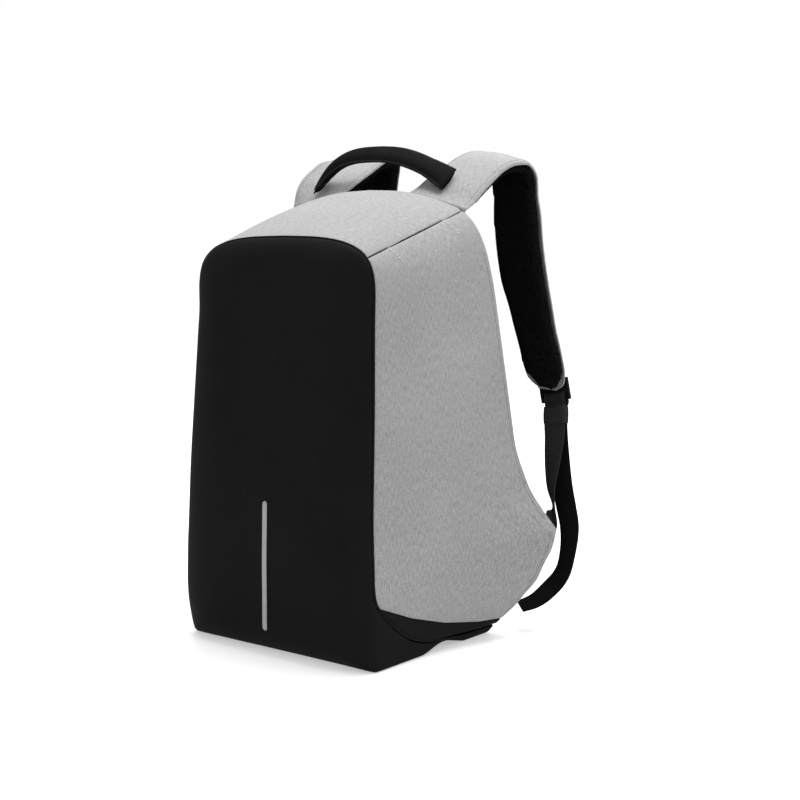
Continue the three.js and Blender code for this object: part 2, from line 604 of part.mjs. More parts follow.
const buckleHeight = 3 * buckleBar + 2 * buckleSlot;
const slotWidth = webbingWidth + 2 * clearance + 2 * loopEase;

function buckleGeometry() {
  const shape = new THREE.Shape();
  const halfWide = slotWidth / 2 + buckleBar;
  const halfHigh = buckleHeight / 2;
  shape.moveTo(-halfWide, -halfHigh);
  shape.lineTo(halfWide, -halfHigh);
  shape.lineTo(halfWide, halfHigh);
  shape.lineTo(-halfWide, halfHigh);
  for (const middle of [(buckleBar + buckleSlot) / 2, -(buckleBar + buckleSlot) / 2]) {
    const slot = new THREE.Path();
    slot.moveTo(-slotWidth / 2, middle - buckleSlot / 2);
    slot.lineTo(-slotWidth / 2, middle + buckleSlot / 2);
    slot.lineTo(slotWidth / 2, middle + buckleSlot / 2);
    slot.lineTo(slotWidth / 2, middle - buckleSlot / 2);
    shape.holes.push(slot);
  }
  const geometry = new THREE.ExtrudeGeometry(shape, { depth: buckleThickness, bevelEnabled: false });
  geometry.translate(0, 0, -buckleThickness / 2);
  const { middle, across, down, normal } = buckleFrame();
  const up = down.clone().negate();
  geometry.applyMatrix4(new THREE.Matrix4().makeBasis(across, up, normal.clone().negate()).setPosition(middle));
  return toGeometry(toSolid(geometry));
}

// A band bent round a buckle bar: down behind the bar, under or over it, and down in front
function loopFrames(barDown, turn, legs) {
  const { middle, across, down, normal } = buckleFrame();
  const radius = buckleThickness / 2 + clearance + webbingThickness / 2 + loopEase;
  const frames = [];
  const place = (depth, drop) => middle.clone().addScaledVector(normal, depth).addScaledVector(down, barDown + drop);
  const push = (depth, drop, out) => frames.push({
    middle: place(depth, drop), across, normal: out, width: webbingWidth, thickness: webbingThickness,
  });
  push(-radius, turn * legs, normal.clone().negate());
  const steps = 6;
  for (let i = 0; i <= steps; i += 1) {
    const angle = Math.PI * i / steps;
    const out = normal.clone().multiplyScalar(-Math.cos(angle)).addScaledVector(down, -turn * Math.sin(angle));
    const reach = buckleBar / 2 + clearance + webbingThickness / 2 + loopEase * 2;
    push(-radius * Math.cos(angle), -turn * reach * Math.sin(angle), out);
  }
  push(radius, turn * legs, normal);
  return frames;
}

function pathFrames(path) {
  const places = path.map(lowerPlace);
  return path.map((row, i) => {
    const before = places[Math.max(i - 1, 0)];
    const after = places[Math.min(i + 1, path.length - 1)];
    const along = after.clone().sub(before).normalize();
    const side = point(1, 0, 0).addScaledVector(along, -along.x).normalize();
    const across = side.applyAxisAngle(along, degrees(row.turn));
    const normal = across.clone().cross(along).normalize();
    return { middle: places[i], across, normal, width: webbingWidth, thickness: webbingThickness };
  });
}

// The webbing's lower end lies along the wing's rear edge, just behind the back
function wingFrame() {
  const [upper, lower] = [wingTip - 1, wingTip].map((index) => outlinePoint(sections[index], 1, wingReach));
  const across = lower.clone().sub(upper);
  const middle = upper.lerp(lower, 0.5);
  middle.x -= wingInset;
  middle.y = backFaceY(middle.z) + clearance + webbingThickness / 2;
  const width = across.length();
  return { middle, across: across.normalize(), normal: point(0, -1, 0), width, thickness: webbingThickness };
}

function addWebbing(add, name, sign) {
  const pitch = buckleBar + buckleSlot;
  const leg = pathFrames(legPath).reverse();
  leg.forEach((frame) => frame.normal.negate());
  const tail = pathFrames(tailPath);
  const turn = loopFrames(pitch, 1, buckleBar);
  const webbing = bandBody([wingFrame(), ...leg, ...turn, ...tail]);
  const loop = bandBody(loopFrames(-pitch, -1, loopLength));
  add(`buckle_${name}`, 'plastic', mirrored(buckleGeometry(), sign));
  add(`buckle_loop_${name}`, 'webbing', mirrored(loop, sign));
  add(`webbing_${name}`, 'webbing', mirrored(webbing, sign));
  add(`keeper_${name}`, 'plastic', mirrored(keeperGeometry(), sign));
}

// The keeper is a flat loop round both legs of the webbing, just below the buckle
function keeperGeometry() {
  const ends = [0, 1].map((index) => lowerPlace(legPath[index]).lerp(lowerPlace(tailPath[index]), 0.5));
  const up = ends[0].clone().sub(ends[1]).normalize();
  const across = point(1, 0, 0).addScaledVector(up, -up.x).normalize();
  const halfWide = webbingWidth / 2 + clearance;
  const legGap = lowerPlace(tailPath[0]).distanceTo(lowerPlace(legPath[0]));
  const halfDeep = (legGap + webbingThickness) / 2 + clearance;
  const box = (wide, deep, high) => toSolid(new THREE.BoxGeometry(2 * wide, 2 * deep, high));
  const outer = box(halfWide + keeperThickness, halfDeep + keeperThickness, keeperHeight);
  const ring = toGeometry(outer.subtract(box(halfWide, halfDeep, keeperHeight * 2)));
  const place = new THREE.Matrix4().makeBasis(across, up.clone().cross(across), up);
  return ring.applyMatrix4(place.setPosition(ends[0].lerp(ends[1], 0.5)));
}

const backpack = new THREE.Group();

function add(name, finish, geometry) {
  geometry.computeVertexNormals();
  const mesh = new THREE.Mesh(geometry, new THREE.MeshStandardMaterial(materials[finish]));
  mesh.name = name;
  backpack.add(mesh);
}

bagPanels(add);
addHandle(add);
for (const [name, sign, lift] of [['right', 1, 0], ['left', -1, leftStrapLift]]) {
  addStraps(add, name, sign, lift);
  addWebbing(add, name, sign);
}

export default backpack;
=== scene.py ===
# Backpack: soft panels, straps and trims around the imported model, in metres.
import math

import bmesh
import bpy
import numpy as np
from mathutils import Matrix, Vector, noise
from mathutils.bvhtree import BVHTree
from mathutils.kdtree import KDTree


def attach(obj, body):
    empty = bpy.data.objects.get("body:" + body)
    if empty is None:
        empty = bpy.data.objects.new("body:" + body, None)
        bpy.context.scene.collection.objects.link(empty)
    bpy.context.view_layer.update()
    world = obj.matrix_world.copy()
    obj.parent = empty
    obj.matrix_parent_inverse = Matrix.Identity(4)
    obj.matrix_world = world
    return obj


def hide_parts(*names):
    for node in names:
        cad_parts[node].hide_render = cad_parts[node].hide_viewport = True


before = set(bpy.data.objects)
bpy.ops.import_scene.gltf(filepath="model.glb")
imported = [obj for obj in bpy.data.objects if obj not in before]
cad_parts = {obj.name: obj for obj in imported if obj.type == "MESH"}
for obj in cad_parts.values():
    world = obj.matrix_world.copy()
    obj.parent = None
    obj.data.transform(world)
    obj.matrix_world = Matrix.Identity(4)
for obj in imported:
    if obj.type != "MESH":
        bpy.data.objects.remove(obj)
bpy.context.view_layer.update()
mm = 0.001
bothSides = (("Right", 1), ("Left", -1))

cameraView = {"place": (0.9591, -1.0930, 0.3904), "target": (0.0820, -0.0120, 0.2417), "lens": 66.1}


def addObject(name, data):
    made = bpy.data.objects.new(name, data)
    bpy.context.scene.collection.objects.link(made)
    return made


def aim(item, place, target):
    item.location = place
    item.rotation_euler = (Vector(target) - Vector(place)).to_track_quat("-Z", "Y").to_euler()


def addCamera():
    data = bpy.data.cameras.new("photoCamera")
    data.lens = cameraView["lens"]
    data.sensor_width = 36.0
    camera = addObject("photoCamera", data)
    aim(camera, cameraView["place"], cameraView["target"])
    bpy.context.scene.camera = camera


addCamera()
print("camera set")


class Wire:
    # A shader socket that takes part in sums, differences and products
    def __init__(self, paint, socket):
        self.paint = paint
        self.socket = socket

    def __add__(self, other):
        return self.paint.maths("ADD", self, other)

    def __radd__(self, other):
        return self.paint.maths("ADD", other, self)

    def __sub__(self, other):
        return self.paint.maths("SUBTRACT", self, other)

    def __rsub__(self, other):
        return self.paint.maths("SUBTRACT", other, self)

    def __mul__(self, other):
        return self.paint.maths("MULTIPLY", self, other)

    def __rmul__(self, other):
        return self.paint.maths("MULTIPLY", other, self)


class Paint:
    # One procedural material; sockets that don't vary are set at once
    def __init__(self, name, **fixed):
        self.material = bpy.data.materials.new(name)
        self.material.use_nodes = True
        self.tree = self.material.node_tree
        self.shader = self.tree.nodes["Principled BSDF"]
        for socketName, value in fixed.items():
            self.shader.inputs[socketName.replace("_", " ")].default_value = value

    def node(self, kind, settings, inputs, output=0):
        made = self.tree.nodes.new(kind)
        for key, value in settings.items():
            setattr(made, key, value)
        for key, value in inputs.items():
            if isinstance(value, Wire):
                self.tree.links.new(value.socket, made.inputs[key])
            else:
                made.inputs[key].default_value = value
        return Wire(self, made.outputs[output])

    def maths(self, operation, left, right=0.0):
        return self.node("ShaderNodeMath", {"operation": operation}, {0: left, 1: right})

    def clamped(self, value, low, high):
        return self.node("ShaderNodeMapRange", {}, {0: value, 1: low, 2: high, 3: 0.0, 4: 1.0})

    def mixed(self, factor, first, second):
        settings = {"data_type": "RGBA"}
        return self.node("ShaderNodeMix", settings, {0: factor, 6: first, 7: second}, 2)

    def place(self):
        return self.node("ShaderNodeTexCoord", {}, {}, "Object")

    def uv(self):
        return self.node("ShaderNodeUVMap", {"uv_map": "cloth"}, {})

    def scaled(self, vector, factors):
        return self.node("ShaderNodeVectorMath", {"operation": "MULTIPLY"}, {0: vector, 1: factors})

    def split(self, vector):
        made = self.tree.nodes.new("ShaderNodeSeparateXYZ")
        self.tree.links.new(vector.socket, made.inputs[0])
        return [Wire(self, socket) for socket in made.outputs]

    def cloud(self, vector, scale, detail=2.0):
        return self.node("ShaderNodeTexNoise", {}, {"Vector": vector, "Scale": scale, "Detail": detail})

    def cells(self, vector, scale, feature="F1"):
        return self.node("ShaderNodeTexVoronoi", {"feature": feature}, {"Vector": vector, "Scale": scale})

    def wave(self, value, period):
        return self.maths("SINE", value * (2 * math.pi / period)) * 0.5 + 0.5

    def feed(self, socketName, wire):
        self.tree.links.new(wire.socket, self.shader.inputs[socketName])

    def bump(self, height, strength, distance):
        inputs = {"Height": height, "Strength": strength, "Distance": distance}
        self.feed("Normal", self.node("ShaderNodeBump", {}, inputs))


def grey(value, tint=0.0):
    return (value * (1 + tint), value * (1 - tint / 2), value * (1 + tint), 1)


# Light grey cloth of mottled yarns that run up the panels
heatherLook = {"dark": grey(0.112, 0.01), "light": grey(0.335, 0.01), "yarn": 1.25 * mm, "weave": 1.1 * mm}


def heatherCloth():
    paint = Paint("heatherCloth", Sheen_Weight=0.08, Sheen_Roughness=0.5, Specular_IOR_Level=0.1)
    uv = paint.uv()
    across, along, _ = paint.split(uv)
    yarn = heatherLook["yarn"]
    streaks = paint.cloud(paint.scaled(uv, (1 / yarn, 0.2 / yarn, 1)), 1.0, 3.0)
    flecks = paint.cloud(paint.scaled(uv, (1.5 / yarn, 0.9 / yarn, 1)), 1.0, 2.0)
    drift = paint.cloud(paint.place(), 9.0, 2.0)
    warp = paint.wave(across, heatherLook["weave"])
    weft = paint.wave(along, heatherLook["weave"])
    blend = paint.clamped(streaks * 0.5 + flecks * 0.5 + (drift - 0.5) * 0.14, 0.27, 0.73)
    shade = paint.clamped(blend * 0.9 + warp * weft * 0.10, 0.0, 1.0)
    paint.feed("Base Color", paint.mixed(shade, heatherLook["dark"], heatherLook["light"]))
    paint.feed("Roughness", 0.86 + blend * 0.1)
    paint.bump(warp * weft * 0.6 + streaks * 0.5, 0.2, 0.35 * mm)
    return paint.material


# Close black cloth with a thin coating, a little lighter where it is rubbed
coatedLook = {"dark": grey(0.0044, 0.06), "light": grey(0.0080, 0.05), "weave": 0.9 * mm}


def coatedCloth():
    paint = Paint("coatedCloth", Specular_IOR_Level=0.02)
    place = paint.place()
    x, y, z = paint.split(place)
    drift = paint.cloud(place, 14.0, 4.0)
    grain = paint.cloud(place, 1400.0, 2.0)
    weave = paint.wave(x + y, coatedLook["weave"]) * paint.wave(z, coatedLook["weave"])
    tone = paint.clamped(drift * 0.6 + grain * 0.4 + weave * 0.15, 0.3, 0.8)
    paint.feed("Base Color", paint.mixed(tone, coatedLook["dark"], coatedLook["light"]))
    paint.feed("Roughness", 0.56 + drift * 0.16)
    paint.bump(grain * 0.5 + weave, 0.16, 0.25 * mm)
    return paint.material


# Open black knit over foam
knitLook = {"hole": grey(0.0008), "yarn": grey(0.0056), "pitch": 2.6 * mm}


def airKnit():
    paint = Paint("airKnit", Specular_IOR_Level=0.0)
    uv = paint.uv()
    turned = paint.node("ShaderNodeMapping", {}, {"Vector": uv, "Rotation": (0, 0, 0.6)})
    holes = paint.cells(paint.scaled(turned, (1 / knitLook["pitch"], 0.78 / knitLook["pitch"], 1)), 1.0)
    yarn = paint.clamped(holes, 0.12, 0.42)
    fibres = paint.cloud(paint.scaled(uv, (1 / mm, 1 / mm, 1)), 1.6, 2.0)
    tone = paint.clamped(yarn * 0.8 + fibres * 0.35, 0.1, 1.1)
    paint.feed("Base Color", paint.mixed(tone, knitLook["hole"], knitLook["yarn"]))
    paint.feed("Roughness", 0.82 + fibres * 0.12)
    paint.bump(yarn + fibres * 0.2, 0.7, 0.6 * mm)
    return paint.material


# Ribbed narrow weave of the webbing, with painted shade along its tail
webbingLook = {"dark": grey(0.005), "light": grey(0.036), "rib": 1.9 * mm, "cord": 2.4 * mm, "legEnd": 150 * mm}


def ribbedWebbing():
    paint = Paint("ribbedWebbing", Specular_IOR_Level=0.0)
    across, along, _ = paint.split(paint.uv())
    ribs = paint.wave(along + paint.maths("PINGPONG", across, webbingLook["cord"]) * 0.6, webbingLook["rib"])
    cords = paint.wave(across, webbingLook["cord"])
    fuzz = paint.cloud(paint.scaled(paint.uv(), (1 / mm, 1 / mm, 1)), 1.2, 3.0)
    tone = paint.clamped(ribs * 0.5 + cords * 0.25 + fuzz * 0.4, 0.2, 1.0)
    # Painted shade: past the end of the leg the tail is painted darker, as if it hangs in shadow
    paintedTailShade = 1 - paint.clamped(along, webbingLook["legEnd"], webbingLook["legEnd"] + 20 * mm) * 0.92
    paint.feed("Base Color", paint.mixed(tone * paintedTailShade, webbingLook["dark"], webbingLook["light"]))
    paint.feed("Roughness", 0.72 + fuzz * 0.15)
    paint.bump(ribs * 0.8 + cords * 0.5, 0.6, 0.35 * mm)
    return paint.material


# Grained black grip cloth with a slight sheen
gripLook = {"dark": grey(0.0042, 0.03), "light": grey(0.0130, 0.03), "grain": 1.3 * mm}


def grainedGrip():
    paint = Paint("grainedGrip", Specular_IOR_Level=0.0005)
    place = paint.place()
    pebbles = paint.cells(place, 1 / gripLook["grain"], "SMOOTH_F1")
    drift = paint.cloud(place, 40.0, 3.0)
    tone = paint.clamped(pebbles * 0.5 + drift * 0.6, 0.2, 0.9)
    paint.feed("Base Color", paint.mixed(tone, gripLook["light"], gripLook["dark"]))
    paint.feed("Roughness", 0.46 + drift * 0.2)
    paint.bump(1 - pebbles, 0.3, 0.3 * mm)
    return paint.material


# Grey tape of fine glass beads
tapeLook = {"dark": grey(0.17), "light": grey(0.256), "bead": 0.5 * mm}


def beadedTape():
    paint = Paint("beadedTape", Specular_IOR_Level=0.7, Metallic=0.25)
    place = paint.place()
    beads = paint.cells(place, 1 / tapeLook["bead"])
    drift = paint.cloud(place, 60.0, 3.0)
    tone = paint.clamped(beads * 0.3 + drift * 0.8, 0.2, 0.9)
    paint.feed("Base Color", paint.mixed(tone, tapeLook["dark"], tapeLook["light"]))
    paint.feed("Roughness", 0.34 + drift * 0.2)
    paint.bump(beads, 0.2, 0.1 * mm)
    return paint.material


# Moulded plastic with a fine spark finish
plasticLook = {"dark": grey(0.0025), "light": grey(0.006)}


def mouldedPlastic():
    paint = Paint("mouldedPlastic", Specular_IOR_Level=0.04)
    place = paint.place()
    spark = paint.cloud(place, 2600.0, 2.0)
    drift = paint.cloud(place, 55.0, 3.0)
    paint.feed("Base Color", paint.mixed(drift, plasticLook["dark"], plasticLook["light"]))
    paint.feed("Roughness", 0.36 + spark * 0.12 + drift * 0.1)
    paint.bump(spark, 0.12, 0.1 * mm)
    return paint.material


def sewingThread(name, value):
    paint = Paint(name, Sheen_Weight=0.2)
    place = paint.place()
    twist = paint.cloud(place, 900.0, 2.0)
    paint.feed("Base Color", paint.mixed(twist, grey(value * 0.6), grey(value * 1.3)))
    paint.feed("Roughness", 0.55 + twist * 0.3)
    paint.bump(twist, 0.3, 0.1 * mm)
    return paint.material


# Under the names of their slots, and the threads under their own
materials = {
    "heather_fabric": heatherCloth(),
    "front_fabric": coatedCloth(),
    "padded_mesh": airKnit(),
    "webbing": ribbedWebbing(),
    "grip": grainedGrip(),
    "reflective": beadedTape(),
    "buckle_plastic": mouldedPlastic(),
    "blackThread": sewingThread("blackThread", 0.012),
    "greyThread": sewingThread("greyThread", 0.12),
    "lightThread": sewingThread("lightThread", 0.45),
}
print("materials made")


def hermite(rows, tangent, places, wanted):
    step = np.diff(places)
    cell = np.clip(np.searchsorted(places, wanted, side="right") - 1, 0, len(places) - 2)
    t = ((wanted - places[cell]) / step[cell])[:, None]
    span = step[cell][:, None]
    return (
        (2 * t**3 - 3 * t**2 + 1) * rows[cell]
        + (t**3 - 2 * t**2 + t) * span * tangent[cell]
        + (3 * t**2 - 2 * t**3) * rows[cell + 1]
        + (t**3 - t**2) * span * tangent[cell + 1]
    )


def smoothRows(rows, places, wanted):
    # A monotone cubic through the rows of a table
    slope = np.diff(rows, axis=0) / np.diff(places)[:, None]
    product = slope[:-1] * slope[1:]
    total = slope[:-1] + slope[1:]
    safe = np.where(np.abs(total) < 1e-12, 1.0, total)
    tangent = np.zeros_like(rows)
    tangent[1:-1] = np.where(product > 0, 2 * product / safe, 0)
    tangent[0], tangent[-1] = slope[0], slope[-1]
    return hermite(rows, tangent, places, wanted)


def runLength(points):
    return np.concatenate([[0], np.cumsum(np.linalg.norm(np.diff(points, axis=0), axis=1))])


def unit(vectors):
    vectors = np.asarray(vectors)
    return vectors / np.maximum(np.linalg.norm(vectors, axis=-1, keepdims=True), 1e-12)


def lineDistance(places, line):
    # Signed distance to a line in side view, positive on its left
    best = np.full(len(places), 1e9)
    signed = np.zeros(len(places))
    for start, end in zip(line[:-1], line[1:]):
        along = end - start
        length = np.linalg.norm(along)
        offset = places - start
        share = np.clip(offset @ along / length**2, 0, 1)
        gap = offset - share[:, None] * along
        distance = np.linalg.norm(gap, axis=1)
        side = along[0] * offset[:, 1] - along[1] * offset[:, 0]
        closer = distance < best - 1e-9
        best[closer] = distance[closer]
        signed[closer] = (np.sign(side) * distance)[closer]
    return signed


bag = {
    "bodyHeight": 443 * mm,
    "frontHeight": 396 * mm,
    "frontHalfWidth": 121.8 * mm,
    "backHalfWidth": 137 * mm,
    "wingReach": 43.5 * mm,
    "baseDepth": 178 * mm,
    "topDepth": 134 * mm,
    "wingDepth": 215 * mm,
    "topRearSet": 6 * mm,
    "frontLean": 10.4 * mm,
    "frontBulge": 14.2 * mm,
    "frontRound": 30 * mm,
    "cornerRound": 50 * mm,
    "backRound": 5 * mm,
    "topPuff": 4 * mm,
    "sidePuff": 3 * mm,
    "baseArch": 8 * mm,
    "archFrom": 0.36,
    "archTo": 0.82,
    "wall": 2.4 * mm,
    "backSeamInset": 1.0 * mm,
    "frontWrap": 24 * mm,
    "pipingRadius": 1.25 * mm,
    "fold": 1.2 * mm,
    "grid": 3.2 * mm,
    "seamGap": 0.22 * mm,
    "topSeamGap": 0.48 * mm,
    "wrapGap": 0.05 * mm,
    "floorGap": 0.2 * mm,
}
frontLine = -bag["baseDepth"] / 2
topRearY = frontLine + bag["topDepth"] + bag["topRearSet"]

# Shares of the named sizes, from the top centre down the right side to the bottom centre
sectionNames = ("frontX", "frontZ", "lean", "backX", "backZ", "wing", "top", "side", "arch")
sectionRows = (
    (0.000, 1.000, 0.18, 0.000, 1.000, 0.00, 1.0, 0.0, 0.0),
    (0.300, 0.998, 0.18, 0.250, 0.997, 0.00, 1.0, 0.0, 0.0),
    (0.500, 0.993, 0.18, 0.420, 0.990, 0.00, 0.9, 0.0, 0.0),
    (0.660, 0.983, 0.18, 0.560, 0.980, 0.00, 0.7, 0.0, 0.0),
    (0.790, 0.966, 0.18, 0.690, 0.967, 0.00, 0.5, 0.0, 0.0),
    (0.870, 0.942, 0.18, 0.805, 0.953, 0.00, 0.2, 0.1, 0.0),
    (0.908, 0.912, 0.18, 0.885, 0.931, 0.00, 0.0, 0.4, 0.0),
    (0.920, 0.880, 0.18, 0.944, 0.898, 0.00, 0.0, 0.7, 0.0),
    (0.920, 0.840, 0.18, 0.982, 0.850, 0.00, 0.0, 0.9, 0.0),
    (0.928, 0.757, 0.00, 1.000, 0.770, 0.00, 0.0, 1.0, 0.0),
    (0.948, 0.606, -0.34, 1.000, 0.610, 0.00, 0.0, 1.0, 0.0),
    (0.966, 0.420, -0.80, 1.000, 0.450, 0.00, 0.0, 1.0, 0.0),
    (0.980, 0.300, -0.94, 0.993, 0.345, 0.22, 0.0, 0.8, 0.0),
    (0.992, 0.225, -1.00, 0.975, 0.275, 0.70, 0.0, 0.6, 0.0),
    (0.998, 0.175, -1.00, 0.956, 0.2415, 1.00, 0.0, 0.5, 0.0),
    (1.000, 0.140, -0.98, 0.940, 0.195, 1.00, 0.0, 0.4, 0.0),
    (0.998, 0.096, -0.88, 0.920, 0.131, 0.84, 0.0, 0.3, 0.0),
    (0.990, 0.052, -0.62, 0.890, 0.070, 0.50, 0.0, 0.2, 0.0),
    (0.988, 0.020, -0.28, 0.868, 0.018, 0.06, 0.0, 0.0, 0.5),
    (0.982, 0.004, -0.05, 0.855, 0.004, 0.00, 0.0, 0.0, 1.0),
    (0.960, 0.000, 0.00, 0.830, 0.000, 0.00, 0.0, 0.0, 0.8),
    (0.450, 0.000, 0.00, 0.430, 0.000, 0.00, 0.0, 0.0, 0.0),
    (0.000, 0.000, 0.00, 0.000, 0.000, 0.00, 0.0, 0.0, 0.0),
)
wingRow = 14
wingHeight = bag["bodyHeight"] * sectionRows[wingRow][4]

# Side view: depth in shares of baseDepth behind the front line, height in shares of frontHeight
pipingPath = (
    (0.019, 1.250), (0.019, 0.858), (-0.011, 0.606), (-0.042, 0.366), (-0.050, 0.190), (-0.034, 0.160),
    (0.026, 0.132), (0.115, 0.093), (0.246, 0.056), (0.354, 0.038), (0.494, 0.028), (0.713, 0.024), (1.4, 0.022),
)
sideBottomPath = (
    (-0.160, 0.172), (0.011, 0.1476), (0.247, 0.106), (0.522, 0.0706), (0.815, 0.047), (0.994, 0.040), (1.4, 0.038),
)
topSeamEnds = ((0.028, 0.9535), (0.781, 1.0683))


def sidePath(rows):
    return np.array([(frontLine + depth * bag["baseDepth"], height * bag["frontHeight"]) for depth, height in rows])


def backFace(z):
    # Two slopes that meet at the wings, with the fold between them rounded
    top = (z - wingHeight) / (bag["bodyHeight"] - wingHeight)
    above = bag["wingDepth"] + (bag["topDepth"] - bag["wingDepth"]) * top
    below = bag["baseDepth"] + (bag["wingDepth"] - bag["baseDepth"]) * z / wingHeight
    soft = bag["fold"]
    return frontLine + (above + below) / 2 - np.sqrt(((above - below) / 2) ** 2 + soft**2) + soft * 0.4


sectionTable = np.array(sectionRows)
frontPlaces = sectionTable[:, :2] * (bag["frontHalfWidth"], bag["frontHeight"])
backPlaces = sectionTable[:, 3:5] * (bag["backHalfWidth"], bag["bodyHeight"])
sectionPlaces = (runLength(frontPlaces) + runLength(backPlaces)) / 2
rowCount = int(sectionPlaces[-1] / bag["grid"])
rowPlaces = np.linspace(0, sectionPlaces[-1], rowCount)
section = dict(zip(sectionNames, smoothRows(sectionTable, sectionPlaces, rowPlaces).T))
straightWing = np.interp(rowPlaces, sectionPlaces, sectionTable[:, 5])
section["wing"] = np.where(rowPlaces > sectionPlaces[wingRow - 1], straightWing, section["wing"])


def depthRing(share):
    # The outline of the bag at a share of its depth, from the front edge to the back
    frontX = section["frontX"] * bag["frontHalfWidth"]
    frontY = frontLine + section["lean"] * bag["frontLean"]
    frontZ = section["frontZ"] * bag["frontHeight"]
    backZ = section["backZ"] * bag["bodyHeight"]
    backX = section["backX"] * bag["backHalfWidth"]
    backY = backFace(backZ) - bag["backRound"]
    x, y, z = ((1 - share) * a + share * b for a, b in ((frontX, backX), (frontY, backY), (frontZ, backZ)))
    swell = math.sin(math.pi * share)
    x = x + section["wing"] * bag["wingReach"] * share**3 + section["side"] * bag["sidePuff"] * swell
    archShare = min(1, max(0, (share - bag["archFrom"]) / (bag["archTo"] - bag["archFrom"])))
    arch = math.sin(math.pi * archShare) ** 2
    z = z + section["top"] * bag["topPuff"] * swell + section["arch"] * bag["baseArch"] * arch
    return np.stack([x, y, z], 1)


# The rows down the side, whose lean the front face follows
leanRows = sectionTable[6:15][::-1]


def frontFace(z):
    height = np.clip(z / bag["frontHeight"], leanRows[0, 1], leanRows[-1, 1])
    lean = smoothRows(leanRows[:, 2:3], leanRows[:, 1], height)[:, 0]
    return frontLine + lean * bag["frontLean"] - bag["frontBulge"]


def insetRing(ring, inset, sideInset, halfWidth, middle):
    x = ring[:, 0] * (1 - sideInset / halfWidth)
    z = middle + (ring[:, 2] - middle) * (1 - inset / middle)
    return np.stack([x, ring[:, 1], z], 1)


skinLook = {"frontRings": 26, "edgeRings": 16, "foldRings": 7, "backRings": 30, "edgePower": 1.5,
            "edgeFullness": 0.7, "foldReach": 1.2, "backMiddle": 0.42}


def skinRings():
    # From the middle of the front round its edge, along the sides, to the middle of the back
    frontRing = depthRing(0)
    frontMiddle = bag["frontHeight"] / 2
    frontHalf = bag["frontHalfWidth"]
    rings = []
    for share in np.linspace(0.04, 0.97, skinLook["frontRings"]):
        inset = frontMiddle + (bag["frontRound"] - frontMiddle) * share
        sideInset = frontHalf + (bag["cornerRound"] - frontHalf) * share
        ring = insetRing(frontRing, inset, sideInset, frontHalf, frontMiddle)
        ring[:, 1] = frontFace(ring[:, 2])
        rings.append(ring)
    for share in np.linspace(1, 0, skinLook["edgeRings"])[:-1] ** skinLook["edgePower"]:
        inset, sideInset = bag["frontRound"] * share, bag["cornerRound"] * share
        ring = insetRing(frontRing, inset, sideInset, frontHalf, frontMiddle)
        forward = (1 - (1 - share) ** 2) ** skinLook["edgeFullness"]
        ring[:, 1] += (frontFace(ring[:, 2]) - ring[:, 1]) * forward
        rings.append(ring)
    rings += [depthRing(share) for share in np.linspace(0, 1, int(bag["wingDepth"] / bag["grid"]))]
    backRing = rings[-1]
    backMiddle = bag["bodyHeight"] * skinLook["backMiddle"]
    for angle in np.linspace(0, math.pi / 2, skinLook["foldRings"])[1:]:
        length = skinLook["foldReach"] * bag["backRound"] * (1 - math.cos(angle))
        ring = insetRing(backRing, length, length, bag["backHalfWidth"], backMiddle)
        ring[:, 1] = backFace(ring[:, 2]) - bag["backRound"] * (1 - math.sin(angle))
        rings.append(ring)
    backRing = rings[-1]
    for share in np.linspace(1, 0.03, skinLook["backRings"])[1:]:
        z = backMiddle + (backRing[:, 2] - backMiddle) * share
        rings.append(np.stack([backRing[:, 0] * share, backFace(z), z], 1))
    return np.stack(rings, 1)


rightSkin = skinRings()
leftSkin = rightSkin[1:-1][::-1] * (-1, 1, 1)
skin = np.concatenate([rightSkin, leftSkin])


def skinNormals(grid):
    around = np.roll(grid, -1, 0) - np.roll(grid, 1, 0)
    deep = np.gradient(grid, axis=1)
    normals = unit(np.cross(deep, around))
    middle = grid.mean((0, 1))
    side = len(grid) // 4
    out = normals[side, grid.shape[1] // 2] @ (grid[side, grid.shape[1] // 2] - middle)
    return normals * (1 if out > 0 else -1)


skinOut = skinNormals(skin)
aroundRun = np.concatenate([rowPlaces, 2 * rowPlaces[-1] - rowPlaces[1:-1][::-1]])
deepRun = np.concatenate([[0], np.cumsum(np.linalg.norm(np.diff(skin, axis=1), axis=2).mean(0))])

pipingLine = sidePath(pipingPath)
sideBottomLine = sidePath(sideBottomPath)
topSeamLine = sidePath(topSeamEnds)
topSeamLine = np.array([2 * topSeamLine[0] - topSeamLine[1], 2 * topSeamLine[1] - topSeamLine[0]])
slopeUp = (bag["topDepth"] - bag["wingDepth"]) / (bag["bodyHeight"] - wingHeight)
slopeDown = (bag["wingDepth"] - bag["baseDepth"]) / wingHeight
backHeights = np.array([1.2 * bag["bodyHeight"], wingHeight, -0.5 * wingHeight])
backDepths = bag["wingDepth"] + np.array([slopeUp, 0, slopeDown]) * (backHeights - wingHeight)
backSeamLine = np.stack([frontLine + backDepths - bag["backSeamInset"], backHeights], 1)

# Every skin point's columns: place 0-2, outward 3-5, cloth run 6-7, then the seam distances
seamFields = {
    "piping": lambda side: lineDistance(side, pipingLine),
    "bottom": lambda side: lineDistance(side, sideBottomLine),
    "top": lambda side: lineDistance(side, topSeamLine),
    "back": lambda side: lineDistance(side, backSeamLine),
    "wrap": lambda side: side[:, 0] - (frontLine + bag["frontWrap"]),
}
column = {name: 8 + index for index, name in enumerate(seamFields)}


def skinColumns():
    count, depth = skin.shape[:2]
    flat = skin.reshape(-1, 3)
    run = np.stack(np.meshgrid(aroundRun, deepRun, indexing="ij"), 2).reshape(-1, 2)
    fields = [measure(flat[:, 1:]) for measure in seamFields.values()]
    return np.concatenate([flat, skinOut.reshape(-1, 3), run, np.stack(fields, 1)], 1), count, depth


touch = 1e-7


